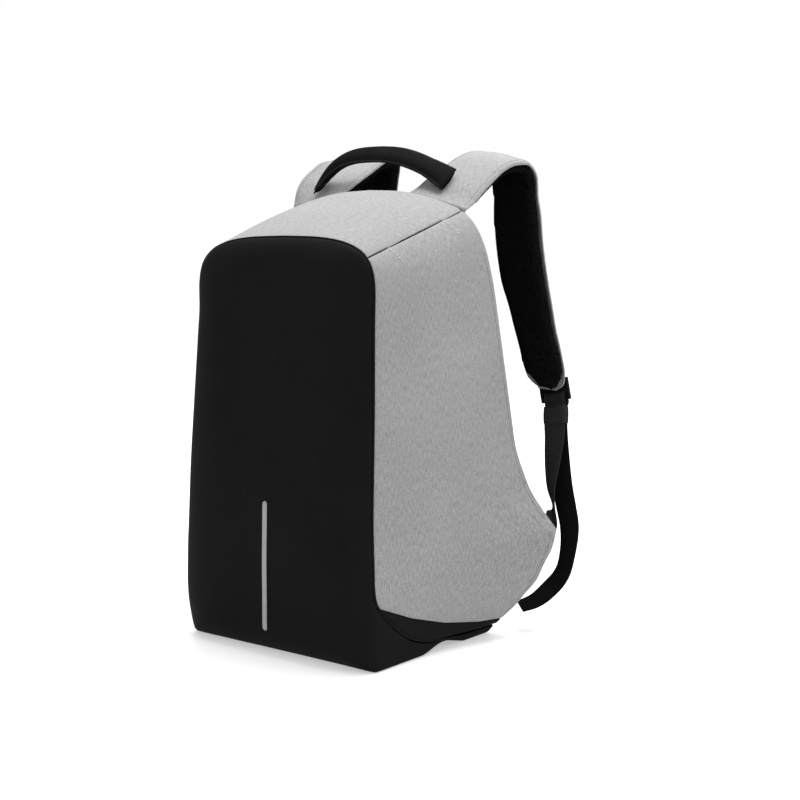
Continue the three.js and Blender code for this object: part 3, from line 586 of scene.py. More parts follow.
class Cloth:
    # Polygons over rows of columns, which can be cut where a column has some value
    def __init__(self, columns, faces):
        self.columns = [tuple(row) for row in columns]
        self.faces = faces

    def cut(self, name, level):
        # Adds an edge along the line where a column has this value
        index = column[name]
        values = [row[index] - level for row in self.columns]
        between, faces = {}, []
        for face in self.faces:
            side = [values[corner] for corner in face]
            if min(side) > -touch or max(side) < touch:
                faces.append(face)
                continue
            low, high = [], []
            for here, there in zip(face, face[1:] + face[:1]):
                a, b = values[here], values[there]
                if a <= touch:
                    low.append(here)
                if a >= -touch:
                    high.append(here)
                if min(a, b) < -touch and max(a, b) > touch:
                    key = (min(here, there), max(here, there))
                    if key not in between:
                        share = a / (a - b)
                        first, second = self.columns[here], self.columns[there]
                        self.columns.append(tuple(p + (q - p) * share for p, q in zip(first, second)))
                        values.append(0.0)
                        between[key] = len(self.columns) - 1
                    low.append(between[key])
                    high.append(between[key])
            faces += [part for part in (low, high) if len(part) > 2]
        self.faces = faces

    def panel(self, inside):
        columns = np.array(self.columns)
        chosen = [face for face in self.faces if inside(columns[list(face)].mean(0))]
        used = sorted({corner for face in chosen for corner in face})
        place = {corner: index for index, corner in enumerate(used)}
        return columns[used], [[place[corner] for corner in face] for face in chosen]


seamSteps = (0.0, 0.7 * mm, 1.6 * mm, 3.4 * mm)
seamHalf = {name: bag["seamGap"] for name in seamFields}
seamHalf["piping"] = bag["pipingRadius"] + 0.1 * mm
seamHalf["wrap"] = bag["wrapGap"]
seamHalf["top"] = bag["topSeamGap"]


def cutSkin():
    columns, count, depth = skinColumns()
    faces = []
    for i in range(count):
        j = (i + 1) % count
        for k in range(depth - 1):
            faces.append([i * depth + k, j * depth + k, j * depth + k + 1, i * depth + k + 1])
    faces.append([i * depth for i in reversed(range(count))])
    faces.append([i * depth + depth - 1 for i in range(count)])
    cloth = Cloth(columns, faces)
    for name in seamFields:
        half = seamHalf[name]
        for step in seamSteps:
            for sign in (1, -1):
                cloth.cut(name, sign * (half + step))
    return cloth


skinCloth = cutSkin()
print("skin cut along its seams:", len(skinCloth.faces), "faces")


def noiseAt(places, size, seed):
    shift = Vector((seed * 3.1, seed * 1.7, seed * 2.3))
    return np.array([noise.noise(Vector(place) / size + shift) for place in places])


def smoothStep(values, low, high):
    share = np.clip((values - low) / (high - low), 0, 1)
    return share * share * (3 - 2 * share)


def hump(values, riseFrom, riseTo, fallFrom, fallTo):
    return smoothStep(values, riseFrom, riseTo) * (1 - smoothStep(values, fallFrom, fallTo))


seamShape = {"sink": 1.1 * mm, "narrow": 1.3 * mm, "pad": 0.5 * mm, "wide": 9 * mm}
foldShape = {"size": 85 * mm, "height": 1.3 * mm, "fine": 30 * mm, "fineHeight": 0.35 * mm}


def seamRelief(columns, names):
    distance = np.min([np.abs(columns[:, column[name]]) for name in names], axis=0)
    sink = -seamShape["sink"] * np.exp(-distance / seamShape["narrow"])
    return sink + seamShape["pad"] * (1 - np.exp(-distance / seamShape["wide"])), distance


def foldRelief(columns, share, distance):
    # Soft waves of the cloth, held still at the seams
    free = smoothStep(distance, 2 * mm, 40 * mm)
    waves = noiseAt(columns[:, :3] * (1, 1, 0.55), foldShape["size"], 1.0) * foldShape["height"]
    creases = noiseAt(columns[:, :3] * (1, 1, 0.8), foldShape["fine"], 2.0) * foldShape["fineHeight"]
    return share * (waves * free + creases * smoothStep(distance, 1 * mm, 14 * mm))


def makeMesh(name, points, faces, material, uvs=None):
    mesh = bpy.data.meshes.new(name)
    mesh.from_pydata([tuple(point) for point in points], [], faces)
    if uvs is not None:
        layer = mesh.uv_layers.new(name="cloth")
        corners = np.array([uvs[loop.vertex_index] for loop in mesh.loops], np.float32)
        layer.data.foreach_set("uv", corners.ravel())
    mesh.materials.append(material)
    mesh.polygons.foreach_set("use_smooth", [True] * len(mesh.polygons))
    return addObject(name, mesh)


def applyModifiers(piece):
    evaluated = piece.evaluated_get(bpy.context.evaluated_depsgraph_get())
    mesh = bpy.data.meshes.new_from_object(evaluated)
    piece.modifiers.clear()
    piece.data = mesh


def addWall(piece, thickness, offset=-1):
    wall = piece.modifiers.new("wall", "SOLIDIFY")
    wall.thickness = thickness
    wall.offset = offset
    applyModifiers(piece)


def finish(piece, slot, *nodes):
    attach(piece, "root")
    if nodes:
        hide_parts(*nodes)
    return piece


def addPanel(name, node, slot, inside, seams, folds, extra=None):
    columns, faces = skinCloth.panel(inside)
    relief, distance = seamRelief(columns, seams)
    relief = relief + foldRelief(columns, folds, distance)
    if extra:
        relief = relief + extra(columns)
    points = columns[:, :3] + columns[:, 3:6] * relief[:, None]
    points[:, 2] = np.maximum(points[:, 2], bag["floorGap"])
    piece = makeMesh(name, points, faces, materials[slot], columns[:, [7, 6]])
    addWall(piece, bag["wall"])
    return finish(piece, slot, node)


gap = bag["seamGap"]
besidePiping = seamHalf["piping"]
insidePiping = lambda row: row[column["piping"]] > besidePiping
outsidePiping = lambda row: row[column["piping"]] < -besidePiping
aheadOfBack = lambda row: row[column["back"]] < -gap

wingLook = {"hollow": 2.2 * mm, "place": (70 * mm, 120 * mm), "size": (32 * mm, 45 * mm),
            "crease": 0.4 * mm, "pitch": 9 * mm, "depths": (40 * mm, 100 * mm),
            "heights": (40 * mm, 70 * mm, 150 * mm, 200 * mm)}


def wingCreases(columns):
    # The wing is hollowed ahead of its edge and lightly creased
    y, z = columns[:, 1], columns[:, 2]
    (middleY, middleZ), (sizeY, sizeZ) = wingLook["place"], wingLook["size"]
    near = smoothStep(y, *wingLook["depths"]) * hump(z, *wingLook["heights"])
    hollow = np.exp(-(((y - middleY) / sizeY) ** 2) - ((z - middleZ) / sizeZ) ** 2)
    return -wingLook["hollow"] * hollow - wingLook["crease"] * near * np.sin((y + z) / wingLook["pitch"])


frontSide = lambda row: outsidePiping(row) and row[column["wrap"]] < -seamHalf["wrap"]
baseSide = lambda row: outsidePiping(row) and row[column["wrap"]] > seamHalf["wrap"] and aheadOfBack(row)
addPanel("frontCloth", "front_panel", "front_fabric", frontSide, ("piping",), 0.35)
addPanel("baseCloth", "base_panel", "front_fabric", baseSide, ("piping", "back"), 0.35)
topSide = lambda row: insidePiping(row) and aheadOfBack(row) and row[column["top"]] > gap
addPanel("topCloth", "top_panel", "heather_fabric", topSide, ("piping", "top", "back"), 0.8)
for label, sign in bothSides:
    onSide = lambda row: insidePiping(row) and aheadOfBack(row) and row[0] * sign > 0
    greySide = lambda row: onSide(row) and row[column["top"]] < -gap and row[column["bottom"]] > gap
    blackSide = lambda row: onSide(row) and row[column["bottom"]] < -gap
    lower = label.lower()
    sideSeams = ("piping", "top", "bottom", "back")
    addPanel("sideCloth" + label, "side_panel_" + lower, "heather_fabric", greySide, sideSeams, 1.0, wingCreases)
    gussetSeams = ("piping", "bottom", "back")
    addPanel("gussetCloth" + label, "lower_gusset_" + lower, "front_fabric", blackSide, gussetSeams, 0.4)
print("panels made")


def smoothed(values, times):
    values = values.copy()
    for _ in range(times):
        values[1:-1] = values[1:-1] * 0.5 + (values[:-2] + values[2:]) * 0.25
    return values


def outwards(piece):
    shape = bmesh.new()
    shape.from_mesh(piece.data)
    bmesh.ops.recalc_face_normals(shape, faces=shape.faces)
    shape.to_mesh(piece.data)
    shape.free()


def faceOutAt(piece, out, place):
    near = min(piece.data.polygons, key=lambda face: (face.center - Vector(place)).length)
    if near.normal.dot(out) < 0:
        piece.data.flip_normals()


def flip(points, sign):
    return points * (sign, 1, 1)


def gridPiece(name, grid, material, sign, uvs, closed=False, caps=True):
    # A sheet of rows, or a tube when its columns close
    count, width = grid.shape[:2]
    faces = []
    for i in range(count - 1):
        for j in range(width if closed else width - 1):
            k = (j + 1) % width
            faces.append([i * width + j, i * width + k, (i + 1) * width + k, (i + 1) * width + j])
    if closed and caps:
        faces.append(list(range(width))[::-1])
        faces.append([(count - 1) * width + j for j in range(width)])
    flatUvs = None if uvs is None else uvs.reshape(-1, 2)
    return makeMesh(name, flip(grid.reshape(-1, 3), sign), faces, material, flatUvs)


def gridUvs(grid):
    steps = np.linalg.norm(np.diff(grid, axis=1), axis=2)
    across = np.concatenate([np.zeros((len(grid), 1)), np.cumsum(steps, 1)], 1)
    middle = grid.shape[1] // 2
    run = runLength(grid[:, middle])
    return np.stack([across - across[:, middle:middle + 1], np.broadcast_to(run[:, None], across.shape)], 2)


pipingLook = {"step": 2.5 * mm, "sink": 0.35 * mm, "smoothing": 6, "sides": 10}


def pipingRun():
    # The seam's points and outward directions, from the back of the base over the top to the other side
    columns, count, depth = skinColumns()
    points, outs = [], []
    for lane in columns.reshape(count, depth, -1)[:len(rightSkin)]:
        values = lane[:, column["piping"]]
        crossings = np.nonzero((values[:-1] * values[1:] < 0) & (lane[:-1, column["back"]] < -gap))[0]
        if len(crossings):
            k = crossings[0]
            share = values[k] / (values[k] - values[k + 1])
            row = lane[k] + (lane[k + 1] - lane[k]) * share
            points.append(row[:3])
            outs.append(row[3:6])
    points, outs = np.array(points), unit(outs)
    return [np.concatenate([flip(data[1:][::-1], -1), data]) for data in (points, outs)]


def addPiping():
    points, outs = pipingRun()
    points = smoothed(points, pipingLook["smoothing"])
    run = runLength(points)
    wanted = np.linspace(0, run[-1], int(run[-1] / pipingLook["step"]))
    points, outs = (np.stack([np.interp(wanted, run, data[:, k]) for k in range(3)], 1) for data in (points, outs))
    radius = bag["pipingRadius"]
    points = points - outs * pipingLook["sink"]
    along = unit(np.gradient(points, axis=0))
    side = unit(np.cross(along, (0, 0, 1.0)))
    top = np.cross(side, along)
    angles = np.linspace(0, 2 * math.pi, pipingLook["sides"], endpoint=False)
    rings = [points + side * math.cos(a) * radius + top * math.sin(a) * radius for a in angles]
    grid = np.stack(rings, 1)
    bead = gridPiece("pipingBead", grid, materials["front_fabric"], 1, gridUvs(grid), closed=True)
    outwards(bead)
    finish(bead, "front_fabric", "front_piping")


addPiping()
print("piping laid")

stitchLook = {"spacing": 3.0 * mm, "length": 2.3 * mm, "radius": 0.28 * mm}


def stitchTree(material):
    # Lays small grains of thread along every edge of the piece
    tree = bpy.data.node_groups.new("stitchRow", "GeometryNodeTree")
    tree.interface.new_socket("Path", in_out="INPUT", socket_type="NodeSocketGeometry")
    for label in ("Spacing", "Length", "Radius"):
        tree.interface.new_socket(label, in_out="INPUT", socket_type="NodeSocketFloat")
    tree.interface.new_socket("Stitches", in_out="OUTPUT", socket_type="NodeSocketGeometry")
    kinds = ("NodeGroupInput", "NodeGroupOutput", "GeometryNodeMeshToCurve", "GeometryNodeCurveToPoints",
             "FunctionNodeAlignRotationToVector", "GeometryNodeMeshUVSphere", "ShaderNodeCombineXYZ",
             "ShaderNodeMath", "GeometryNodeInstanceOnPoints", "GeometryNodeRealizeInstances",
             "GeometryNodeSetMaterial", "GeometryNodeSetShadeSmooth")
    start, end, curve, dots, turn, grain, size, half, place, real, dye, smooth = (
        tree.nodes.new(kind) for kind in kinds)
    dots.mode = "LENGTH"
    turn.axis = "Z"
    half.operation = "MULTIPLY"
    constants = ((grain, "Segments", 6), (grain, "Rings", 4), (grain, "Radius", 1.0), (half, 1, 0.5),
                 (dye, "Material", material))
    for node, entry, value in constants:
        node.inputs[entry].default_value = value
    links = (
        (start, "Path", curve, 0), (curve, 0, dots, "Curve"), (start, "Spacing", dots, "Length"),
        (dots, "Tangent", turn, "Vector"), (start, "Length", half, 0), (start, "Radius", size, "X"),
        (start, "Radius", size, "Y"), (half, 0, size, "Z"), (dots, "Points", place, "Points"),
        (grain, "Mesh", place, "Instance"), (turn, "Rotation", place, "Rotation"), (size, 0, place, "Scale"),
        (place, 0, real, 0), (real, 0, smooth, 0), (smooth, 0, dye, "Geometry"), (dye, 0, end, 0),
    )
    for source, output, target, entry in links:
        tree.links.new(source.outputs[output], target.inputs[entry])
    return tree


stitchTrees = {name: stitchTree(materials[name]) for name in ("blackThread", "greyThread", "lightThread")}


def addStitches(name, slot, lines, thread="blackThread", **sizes):
    look = {**stitchLook, **sizes}
    points, edges = [], []
    for line in lines:
        edges += [(len(points) + i, len(points) + i + 1) for i in range(len(line) - 1)]
        points += [tuple(point) for point in line]
    mesh = bpy.data.meshes.new(name)
    mesh.from_pydata(points, edges, [])
    piece = addObject(name, mesh)
    sewing = piece.modifiers.new("sewing", "NODES")
    sewing.node_group = stitchTrees[thread]
    for item in stitchTrees[thread].interface.items_tree:
        if item.in_out == "INPUT" and item.name.lower() in look:
            sewing[item.identifier] = look[item.name.lower()]
    applyModifiers(piece)
    return finish(piece, slot)


dropLook = {"above": 12 * mm, "reach": 30 * mm, "sideStart": 185 * mm, "sideReach": 140 * mm}


class Surface:
    # Drops points onto a finished piece
    def __init__(self, piece):
        corners = [vertex.co.copy() for vertex in piece.data.vertices]
        self.tree = BVHTree.FromPolygons(corners, [tuple(face.vertices) for face in piece.data.polygons])

    def drop(self, points, outs, lift):
        made = []
        for point, out in zip(points, outs):
            start = Vector(point) + Vector(out) * dropLook["above"]
            landed = self.tree.ray_cast(start, -Vector(out), dropLook["reach"])[0]
            made.append((Vector(point) if landed is None else landed) + Vector(out) * lift)
        return np.array([tuple(point) for point in made])


strap = {
    "reach": 105 * mm,
    "thickness": 10 * mm,
    "crown": 3 * mm,
    "leftLift": 22 * mm,
    "leftSpread": 7 * mm,
    "coverWall": 1.3 * mm,
    "padStart": 1.7 * mm,
    "rowStep": 4 * mm,
    "stitchInset": 4.6 * mm,
    "stitchLift": 0.15 * mm,
    "hem": ((0.5, 1.0), (0.45, 1.0)),
}
# Turned in ends of the cover: row, fall and reach along the strap
coverEnds = ((0, 5 * mm, -0.5 * mm), (-1, 0.9 * mm, 1.0 * mm), (-1, 2.0 * mm, 1.2 * mm))
strapNames = ("innerX", "innerY", "innerZ", "outerX", "outerY", "outerZ", "lift", "turn", "pad")
strapRows = (
    (0.328, -0.050, 0.9935, 0.825, -0.023, 0.9530, 0.08, 0.00, 0.55),
    (0.328, 0.090, 1.0080, 0.825, 0.105, 0.9700, 0.90, 0.00, 0.75),
    (0.328, 0.200, 1.0240, 0.825, 0.200, 0.9880, 1.05, 0.00, 1.0),
    (0.335, 0.457, 1.0540, 0.825, 0.438, 1.0270, 1.00, 0.00, 1.0),
    (0.343, 0.667, 1.0790, 0.832, 0.600, 1.0500, 0.70, 0.00, 1.0),
    (0.365, 0.848, 1.0930, 0.847, 0.762, 1.0630, 0.55, 0.17, 1.0),
    (0.394, 0.971, 1.0950, 0.869, 0.895, 1.0655, 0.40, 0.33, 1.0),
    (0.423, 1.067, 1.0810, 0.891, 0.981, 1.0540, 0.25, 0.50, 1.0),
    (0.453, 1.105, 1.0520, 0.912, 1.019, 1.0290, 0.10, 0.67, 1.0),
    (0.474, 1.105, 1.0110, 0.909, 1.038, 0.9930, 0.0, 0.83, 1.0),
    (0.496, 1.076, 0.9440, 0.931, 1.048, 0.9440, 0.0, 1.00, 1.0),
    (0.526, 1.057, 0.8760, 0.953, 1.048, 0.8760, 0.0, 1.00, 1.0),
    (0.584, 1.038, 0.7946, 1.004, 1.038, 0.7946, 0.0, 1.00, 1.0),
    (0.657, 1.029, 0.7380, 1.048, 1.029, 0.7380, 0.0, 1.00, 1.0),
    (0.706, 1.029, 0.6907, 1.081, 1.029, 0.6880, 0.0, 1.00, 1.0),
    (0.757, 1.029, 0.6433, 1.128, 1.029, 0.6360, 0.0, 1.00, 1.0),
    (0.797, 1.029, 0.6000, 1.162, 1.029, 0.5830, 0.0, 1.00, 0.9),
    (0.840, 1.029, 0.5690, 1.150, 1.029, 0.5590, 0.0, 1.00, 0.7),
    (0.925, 1.029, 0.5510, 1.091, 1.029, 0.5475, 0.0, 1.00, 0.55),
)


lowerScale = np.array((bag["backHalfWidth"], strap["reach"], bag["bodyHeight"]))
lowerShift = np.array((0, topRearY, 0))
strapTable = np.array(strapRows)
strapPlaces = runLength((strapTable[:, 0:3] + strapTable[:, 3:6]) / 2 * lowerScale)


class StrapSurface:
    # The strap's outer face, in rows from its base to its tip, and frames along it
    def __init__(self, lift):
        wanted = np.linspace(0, strapPlaces[-1], int(strapPlaces[-1] / strap["rowStep"]))
        fine = dict(zip(strapNames, smoothRows(strapTable, strapPlaces, wanted).T))
        self.inner = np.stack([fine["innerX"], fine["innerY"], fine["innerZ"]], 1) * lowerScale + lowerShift
        self.outer = np.stack([fine["outerX"], fine["outerY"], fine["outerZ"]], 1) * lowerScale + lowerShift
        self.lift, self.rise, self.pad = lift, fine["lift"], fine["pad"]
        angle = math.pi / 2 * fine["turn"]
        self.out = np.stack([np.zeros_like(angle), np.sin(angle), np.cos(angle)], 1)
        self.run = runLength(self.face(0.5))
        self.across = unit(self.face(1.0) - self.face(0.0))
        along = unit(np.gradient(self.face(0.5), axis=0))
        self.normal = unit(np.cross(self.across, along))
        self.along = unit(np.cross(self.normal, self.across))
        self.width = np.linalg.norm(self.face(1.0) - self.face(0.0), axis=1)

    def face(self, share):
        return self.at(np.arange(len(self.inner)), np.broadcast_to(share, len(self.inner)))

    def at(self, rows, share):
        # One place for each row number and share of the width
        place = self.inner[rows] + (self.outer - self.inner)[rows] * share[:, None]
        crown = strap["crown"] * np.sin(math.pi * share) * np.maximum(0, 2 * self.pad[rows] - 1)
        rise = self.rise[rows] * self.lift
        place[:, 2] += rise * share**3
        place[:, 0] += rise / strap["leftLift"] * strap["leftSpread"] * share
        return place + self.out[rows] * crown[:, None]

    def grid(self, profile, hem=1.0):
        # Rows of a profile: distance in from each edge, depth, and depth as a share of the thickness
        edge = profile[-1][0] / self.width
        outer = [inset / self.width for inset, _, _ in profile]
        middle = [edge + (1 - 2 * edge) * share for share in np.linspace(0, 1, 15)[1:-1]]
        shares = outer + middle + [1 - share for share in outer[::-1]]
        depths = [*profile, *[profile[-1]] * len(middle), *profile[::-1]]
        made = []
        for share, (_, depth, deep) in zip(shares, depths):
            total = depth * hem + deep * strap["thickness"] * self.pad
            made.append(self.face(share) - self.normal * total[:, None])
        return np.stack(made, 1)


coverProfile = ((0.0, 3.6 * mm, 0), (0.0, 3.0 * mm, 0), (0.15 * mm, 2.2 * mm, 0), (0.7 * mm, 1.3 * mm, 0),
                (1.7 * mm, 0.55 * mm, 0), (3.2 * mm, 0.12 * mm, 0), (5.0 * mm, 0.0, 0))
padProfile = ((6 * mm, 0, 1.06), (3 * mm, 0, 1.04), (0.5 * mm, 0, 0.94), (-1.0 * mm, 0, 0.76), (-1.4 * mm, 0, 0.60),
              (1.3 * mm, 3.4 * mm, 0), (3.4 * mm, 2.4 * mm, 0), (6 * mm, 2.2 * mm, 0))


padSim = {"voxel": 4.0 * mm, "pressure": 4.0, "frames": 20, "cap": 2.2 * mm, "smoothing": 3, "tipReach": 3.4 * mm}
padChannels = {"places": (0.895, 0.94), "depth": 1.4 * mm, "width": 2.0 * mm, "below": 5 * mm}


def inflate(piece, look):
    # Voxel remesh, a short cloth run under pressure, and a cap on how far a point may move
    remesh = piece.modifiers.new("voxels", "REMESH")
    remesh.mode = "VOXEL"
    remesh.voxel_size = look["voxel"]
    remesh.use_smooth_shade = True
    applyModifiers(piece)
    before = np.array([vertex.co[:] for vertex in piece.data.vertices])
    cloth = piece.modifiers.new("cloth", "CLOTH")
    cloth.settings.use_pressure = True
    cloth.settings.uniform_pressure_force = look["pressure"]
    cloth.settings.effector_weights.gravity = 0
    cloth.settings.quality = 5
    scene = bpy.context.scene
    for number in range(1, look["frames"] + 1):
        scene.frame_set(number)
    applyModifiers(piece)
    scene.frame_set(1)
    after = np.array([vertex.co[:] for vertex in piece.data.vertices])
    moved = after - before
    length = np.linalg.norm(moved, axis=1)
    moved *= np.minimum(1, look["cap"] / np.maximum(length, 1e-9))[:, None]
    piece.data.vertices.foreach_set("co", (before + moved).ravel())
    piece.data.update()
    even = piece.modifiers.new("even", "SMOOTH")
    even.factor = 0.5
    even.iterations = look["smoothing"]
    applyModifiers(piece)
    finer = piece.modifiers.new("finer", "SUBSURF")
    finer.levels = finer.render_levels = 1
    applyModifiers(piece)


def nearestRows(points, centres):
    tree = KDTree(len(centres))
    for index, centre in enumerate(centres):
        tree.insert(Vector(centre), index)
    tree.balance()
    return np.array([tree.find(Vector(point))[1] for point in points])


def padUvs(piece, surface, sign):
    # Cloth coordinates of a remeshed pad: along and across its strap
    points = flip(np.array([vertex.co[:] for vertex in piece.data.vertices]), sign)
    near = nearestRows(points, surface.face(0.5))
    offset = points - surface.face(0.5)[near]
    across = np.einsum("ij,ij->i", offset, surface.across[near])
    along = surface.run[near] + np.einsum("ij,ij->i", offset, surface.along[near])
    depth = np.einsum("ij,ij->i", offset, surface.normal[near])
    uvs = np.stack([across + depth * 0.4, along], 1)
    layer = piece.data.uv_layers.get("cloth") or piece.data.uv_layers.new(name="cloth")
    corners = np.array([uvs[loop.vertex_index] for loop in piece.data.loops], np.float32)
    layer.data.foreach_set("uv", corners.ravel())
    return points, near, across, along, depth


def hemDepth(surface):
    # The cover wraps less round the edge where the strap is thin
    return np.interp(surface.pad, *strap["hem"])


def addCover(label, sign, surface):
    grid = surface.grid(coverProfile, hemDepth(surface))
    root, turn, tip = ((grid[row] - surface.normal[row] * fall + surface.along[row] * reach)[None]
                       for row, fall, reach in coverEnds)
    grid = np.concatenate([root, grid, turn, tip])
    cover = gridPiece("strapCover" + label, grid, materials["heather_fabric"], sign, gridUvs(grid))
    middle = len(surface.normal) // 2
    faceOutAt(cover, Vector(flip(surface.normal[middle], sign)), flip(surface.face(0.5)[middle], sign))
    addWall(cover, strap["coverWall"])
    return finish(cover, "heather_fabric", "shoulder_strap_" + label.lower())


def addPad(label, sign, surface):
    grid = surface.grid(padProfile)
    under = surface.grid(padProfile[:1])
    grid = np.concatenate([grid, under[:, ::-1][:, 1:-1]], 1)
    grid[-1] = grid[-1] + surface.along[-1] * padSim["tipReach"]
    pad = gridPiece("strapPad" + label, grid[1:], materials["padded_mesh"], sign, None, closed=True)
    outwards(pad)
    inflate(pad, padSim)
    points, near, across, along, depth = padUvs(pad, surface, sign)
    # It stays below the cover, and is pinched in at its channels
    share = np.clip(0.5 + across / surface.width[near], 0, 1)
    height = np.einsum("ij,ij->i", points - surface.at(near, share), surface.normal[near])
    push = np.minimum(0, -strap["padStart"] - height)
    for place in padChannels["places"]:
        pinch = np.exp(-(((along - place * surface.run[-1]) / padChannels["width"]) ** 2))
        push = push + padChannels["depth"] * pinch * (depth < -padChannels["below"])
    points = points + surface.normal[near] * push[:, None]
    pad.data.vertices.foreach_set("co", flip(points, sign).ravel())
    pad.data.materials.clear()
    pad.data.materials.append(materials["padded_mesh"])
    pad.data.update()
    finish(pad, "padded_mesh", "strap_pad_" + label.lower())


straps, stitchLines = {}, []
for label, sign in bothSides:
    surface = straps[label] = StrapSurface(strap["leftLift"] if sign < 0 else 0.0)
    drop = Surface(addCover(label, sign, surface))
    addPad(label, sign, surface)
    edge = strap["stitchInset"] / surface.width
    outs = flip(surface.normal, sign)[2:-1]
    stitchLines += [drop.drop(flip(surface.face(share), sign)[2:-1], outs, strap["stitchLift"])
                    for share in (edge, 1 - edge)]
addStitches("strapStitches", "heather_fabric", stitchLines, "greyThread")
print("straps made")

handle = {
    "rise": 28 * mm,
    "width": 26 * mm,
    "endWidth": 33 * mm,
    "thickness": 12 * mm,
    "endThickness": 8 * mm,
    "margin": 1.5 * mm,
    "tilt": math.radians(40),
    "skew": 0.18,
    "curve": 2.6,
    "feet": {"Left": 0.56, "Right": 0.47},
    "footRow": 2,
    "clearance": 0.4 * mm,
    "steps": 90,
    "roll": (0.80, 2.6, 0.6),
    "stitches": 0.86,
    "stitchLift": 0.12 * mm,
}


def footPlace(label, sign):
    surface = straps[label]
    wanted = strapPlaces[handle["footRow"]] / strapPlaces[-1]
    row = int(np.argmin(np.abs(surface.run / surface.run[-1] - wanted)))
    lift = handle["clearance"] + handle["endThickness"] / 2
    return flip(surface.face(handle["feet"][label])[row] + surface.normal[row] * lift, sign)


def handleFrames():
    left, right = footPlace("Left", -1), footPlace("Right", 1)
    share = np.linspace(0, 1, handle["steps"])
    side = 2 * share - 1
    arch = 1 - np.abs(side + handle["skew"] * (1 - side**2)) ** handle["curve"]
    middle = left + (right - left) * share[:, None]
    middle[:, 2] += handle["rise"] * arch
    across = np.tile((0, math.cos(handle["tilt"]), math.sin(handle["tilt"])), (len(share), 1))
    along = unit(np.gradient(middle, axis=0))
    normal = unit(np.cross(across, along))
    grip = np.minimum(1, arch * 2)
    width = handle["endWidth"] + (handle["width"] - handle["endWidth"]) * grip
    thickness = handle["endThickness"] + (handle["thickness"] - handle["endThickness"]) * grip
    return middle, across, normal, width, thickness


def bandGrid(middle, across, normal, width, heights, sides):
    # A closed band: its upper and lower faces follow heights(q) for q from -1 to 1
    around = [(q, 1) for q in sides] + [(q, -1) for q in sides[::-1]]
    return np.stack([middle + across * (q * width / 2)[:, None] + normal * (face * heights(q))[:, None]
                     for q, face in around], 1)


def addHandle():
    middle, across, normal, width, thickness = handleFrames()
    reach, power, fullness = handle["roll"]

    def heights(q):
        swell = max(0.0, 1 - (abs(q) / reach) ** power) ** fullness
        edge = 0.0 if abs(q) >= 1 else min(1.0, (1 - abs(q)) / 0.05) ** 0.5
        flat = handle["margin"] / 2 * edge
        return flat + np.maximum(0, thickness / 2 - flat) * swell

    sides = np.concatenate([[-1, -0.985, -0.95, -0.88], np.linspace(-0.82, 0.82, 19), [0.88, 0.95, 0.985, 1]])
    grid = bandGrid(middle, across, normal, width, heights, sides)
    piece = gridPiece("handleGrip", grid, materials["grip"], 1, gridUvs(grid), closed=True)
    outwards(piece)
    finish(piece, "grip", "handle")
    drop, lift = Surface(piece), handle["stitchLift"]
    lines = []
    for q in (-handle["stitches"], handle["stitches"]):
        points = middle + across * (q * width / 2)[:, None]
        lines += [drop.drop(points[3:-3], direction[3:-3], lift) for direction in (normal, -normal)]
    for end in (slice(3, 5), slice(-5, -3)):
        row = middle[end].mean(0) + across[0] * (np.linspace(-0.4, 0.4, 12) * width[0])[:, None]
        lines.append(drop.drop(row, np.tile(normal[end].mean(0), (12, 1)), lift))
    addStitches("handleStitches", "grip", lines)


addHandle()
print("handle made")

webbing = {
    "width": 25 * mm,
    "thickness": 1.6 * mm,
    "place": (1.030, 1.095, 0.5440),
    "slant": math.radians(12),
    "buckleThickness": 3.6 * mm,
    "bar": 4 * mm,
    "slot": 5.4 * mm,
    "clearance": 0.4 * mm,
    "ease": 0.5 * mm,
    "wingInset": 5 * mm,
    "loopLength": 14 * mm,
    "slack": 3.8 * mm,
    "wingDrop": 3 * mm,
    "step": 1.6 * mm,
    "thinner": 0.15 * mm,
    "loopLayers": 1.8,
    "buckleRound": 0.6 * mm,
}
# Places in shares of the back's half width, the straps' reach and the bag's height, and a turn in degrees
legPath = (
    (1.075, 1.010, 0.506, 0),
    (1.087, 0.985, 0.472, 0),
    (1.097, 0.965, 0.440, 5),
    (1.102, 0.935, 0.402, 14),
    (1.108, 0.905, 0.370, 24),
    (1.124, 0.865, 0.325, 40),
    (1.160, 0.835, 0.290, 54),
)
tailPath = (
    (1.075, 1.050, 0.506, 0),
    (1.088, 1.025, 0.472, 0),
    (1.120, 1.010, 0.388, 0),
    (1.166, 0.990, 0.317, 2),
    (1.202, 0.976, 0.280, 4),
    (1.240, 0.957, 0.238, 8),
    (1.250, 0.914, 0.183, 18),
    (1.210, 0.886, 0.128, 20),
    (1.126, 0.829, 0.091, 12),
    (1.052, 0.743, 0.066, 7),
    (0.973, 0.638, 0.053, 6),
)
buckleMiddle = np.array(webbing["place"]) * lowerScale + lowerShift
buckleAcross = np.array((math.cos(webbing["slant"]), 0, math.sin(webbing["slant"])))
buckleDown = np.array((math.sin(webbing["slant"]), 0, -math.cos(webbing["slant"])))
backwards = np.array((0, 1.0, 0))


def turnedAbout(vector, axis, angle):
    return np.array(Matrix.Rotation(angle, 3, Vector(axis)) @ Vector(vector))


def pathFrames(path):
    places = np.array([row[:3] for row in path]) * lowerScale + lowerShift
    frames = []
    for index, row in enumerate(path):
        along = unit(places[min(index + 1, len(path) - 1)] - places[max(index - 1, 0)])
        across = unit(np.array((1.0, 0, 0)) - along * along[0])
        across = turnedAbout(across, along, math.radians(row[3]))
        frames.append((places[index], across, np.cross(across, along), webbing["width"]))
    return frames


